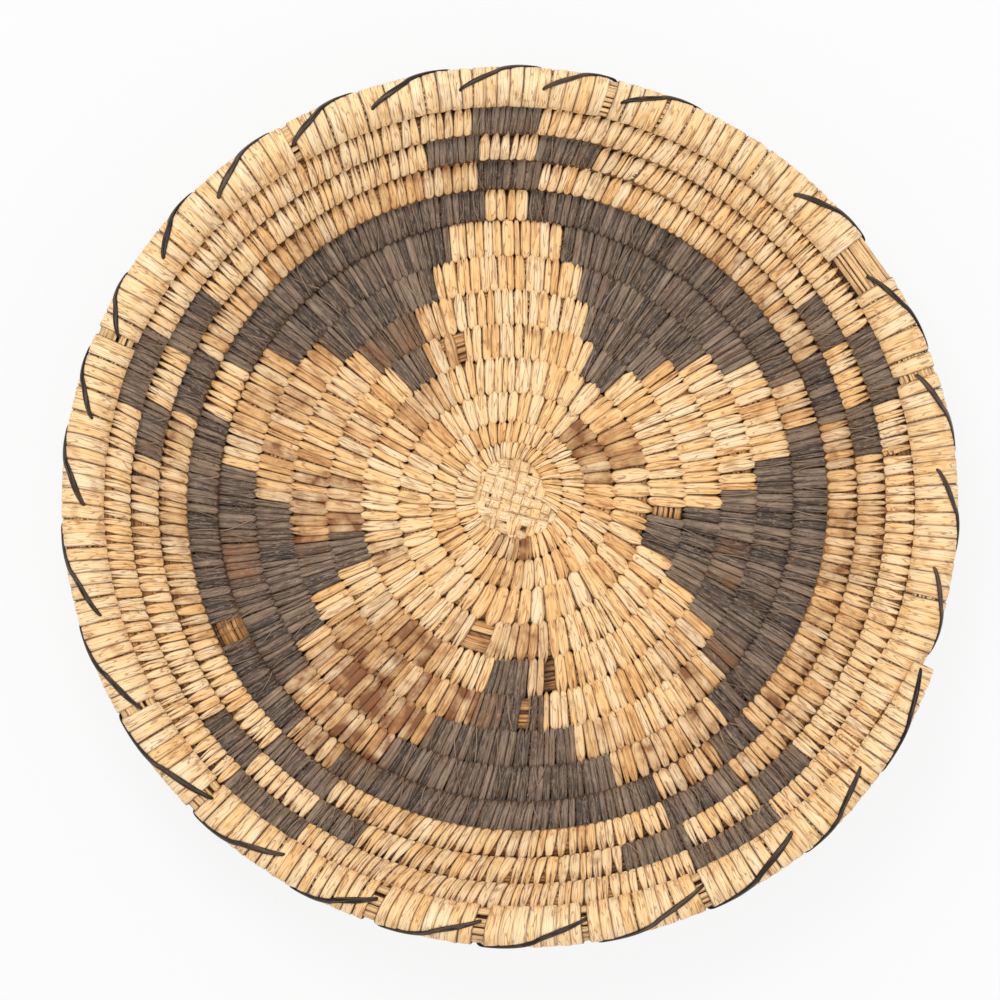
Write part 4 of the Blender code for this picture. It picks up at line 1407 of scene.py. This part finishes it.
class TrayColours(bpy.types.PropertyGroup):
    """Colours of the splints and straws."""

    tan_pale: colour_value("Tan, pale", "Palest streaks of a tan splint", "#FFE8C0")
    tan: colour_value("Tan", "Most of a tan splint", "#FDCC89")
    tan_deep: colour_value("Tan, deep", "Deepest streaks of a tan splint", "#C0783A")
    # Painted shade: the dark of tan splints' edges, ends, grooves and plait crossings
    tan_edge_shade: colour_value("Tan, edge", "Cut edge of a tan splint", "#5C2C0C")
    tan_grain: colour_value("Tan, grain", "Fine lines of a tan splint", "#9E5A28")
    stain: colour_value("Stain", "Brown stain on tan splints", "#84552F")
    dark_pale: colour_value("Dark, pale", "Worn streaks of a dark splint", "#A48B73")
    dark: colour_value("Dark", "Most of a dark splint", "#4A3F38")
    dark_deep: colour_value("Dark, deep", "Deepest streaks of a dark splint", "#1F1A1B")
    # Worn fibre and painted highlight: the paler edges, ends and grooves of dark splints
    dark_edge_wear_and_highlight: colour_value("Dark, edge", "Worn edge of a dark splint", "#5E4E42")
    dark_grain: colour_value("Dark, grain", "Pale fibres of a dark splint", "#AD957C")
    dark_stain: colour_value("Faded dye", "Brown where the dye has faded", "#8E6341")
    grass_pale: colour_value("Grass, pale", "Palest part of a stem", "#F5CB92")
    grass: colour_value("Grass", "Most of a stem", "#C88C4E")
    grass_deep: colour_value("Grass, deep", "Deepest part of a stem", "#4E3018")
    # Painted sheen: pale streaks and grain lines that stand for the lacing's highlight
    lacing_pale: colour_value("Lacing, pale", "Worn streaks of the lacing", "#6F5B4B")
    lacing: colour_value("Lacing", "Most of the lacing", "#211812")
    # Also the lacing's edge colour, painted shade along its sides
    lacing_deep: colour_value("Lacing, deep", "Deepest part of the lacing", "#0F0B0A")


class TRAY_OT_grass(bpy.types.Operator):
    """Lay the grass bundle along the spiral"""

    bl_idname = "tray.grass"
    bl_label = "Grass bundle"

    def execute(self, context):
        add_grass(context)
        return {"FINISHED"}


class TRAY_OT_start(bpy.types.Operator):
    """Plait the start in the middle of the tray"""

    bl_idname = "tray.start"
    bl_label = "Plaited start"

    def execute(self, context):
        add_start(context)
        return {"FINISHED"}


class TRAY_OT_centre(bpy.types.Operator):
    """Sew the plain middle"""

    bl_idname = "tray.centre"
    bl_label = "Middle"

    def execute(self, context):
        add_sewing(context, CENTRE)
        return {"FINISHED"}


class TRAY_OT_petals(bpy.types.Operator):
    """Sew the tan petals"""

    bl_idname = "tray.petals"
    bl_label = "Petals"

    def execute(self, context):
        add_sewing(context, "tan_petal")
        return {"FINISHED"}


class TRAY_OT_fields(bpy.types.Operator):
    """Sew the dark fields of the star"""

    bl_idname = "tray.fields"
    bl_label = "Dark fields"

    def execute(self, context):
        add_sewing(context, "dark_field")
        return {"FINISHED"}


class TRAY_OT_border(bpy.types.Operator):
    """Sew the tan wall"""

    bl_idname = "tray.border"
    bl_label = "Wall"

    def execute(self, context):
        add_sewing(context, "border_sewing")
        return {"FINISHED"}


class TRAY_OT_diamonds(bpy.types.Operator):
    """Sew the five stepped diamonds"""

    bl_idname = "tray.diamonds"
    bl_label = "Diamonds"

    def execute(self, context):
        add_sewing(context, "diamond")
        return {"FINISHED"}


class TRAY_OT_rim(bpy.types.Operator):
    """Wrap the rim"""

    bl_idname = "tray.rim"
    bl_label = "Rim wrapping"

    def execute(self, context):
        add_rim(context)
        return {"FINISHED"}


class TRAY_OT_lacing(bpy.types.Operator):
    """Lace the rim with a dark splint"""

    bl_idname = "tray.lacing"
    bl_label = "Rim lacing"

    def execute(self, context):
        add_lacing(context)
        return {"FINISHED"}


class TRAY_OT_stage(bpy.types.Operator):
    """Set up the floor, the lamps and the camera"""

    bl_idname = "tray.stage"
    bl_label = "Stage"

    def execute(self, context):
        add_stage(context)
        return {"FINISHED"}


OPERATORS = (
    TRAY_OT_grass, TRAY_OT_start, TRAY_OT_centre, TRAY_OT_petals, TRAY_OT_fields,
    TRAY_OT_border, TRAY_OT_diamonds, TRAY_OT_rim, TRAY_OT_lacing, TRAY_OT_stage,
)


class TRAY_PT_panel(bpy.types.Panel):
    bl_idname = "TRAY_PT_panel"
    bl_label = "Basket tray"
    bl_space_type = "VIEW_3D"
    bl_region_type = "UI"
    bl_category = "Basket tray"

    def draw(self, context):
        for key in TraySizes.__annotations__:
            self.layout.prop(context.scene.tray_sizes, key)
        for key in TrayColours.__annotations__:
            self.layout.prop(context.scene.tray_colours, key)
        for operator in OPERATORS:
            self.layout.operator(operator.bl_idname)


CLASSES = (TraySizes, TrayColours, *OPERATORS, TRAY_PT_panel)


def register():
    for one in CLASSES:
        bpy.utils.register_class(one)
    bpy.types.Scene.tray_sizes = bpy.props.PointerProperty(type=TraySizes)
    bpy.types.Scene.tray_colours = bpy.props.PointerProperty(type=TrayColours)


def unregister():
    del bpy.types.Scene.tray_sizes
    del bpy.types.Scene.tray_colours
    for one in reversed(CLASSES):
        bpy.utils.unregister_class(one)


def main():
    register()
    for operator in OPERATORS:
        group, action = operator.bl_idname.split(".")
        getattr(getattr(bpy.ops, group), action)()


if __name__ == "__main__":
    main()
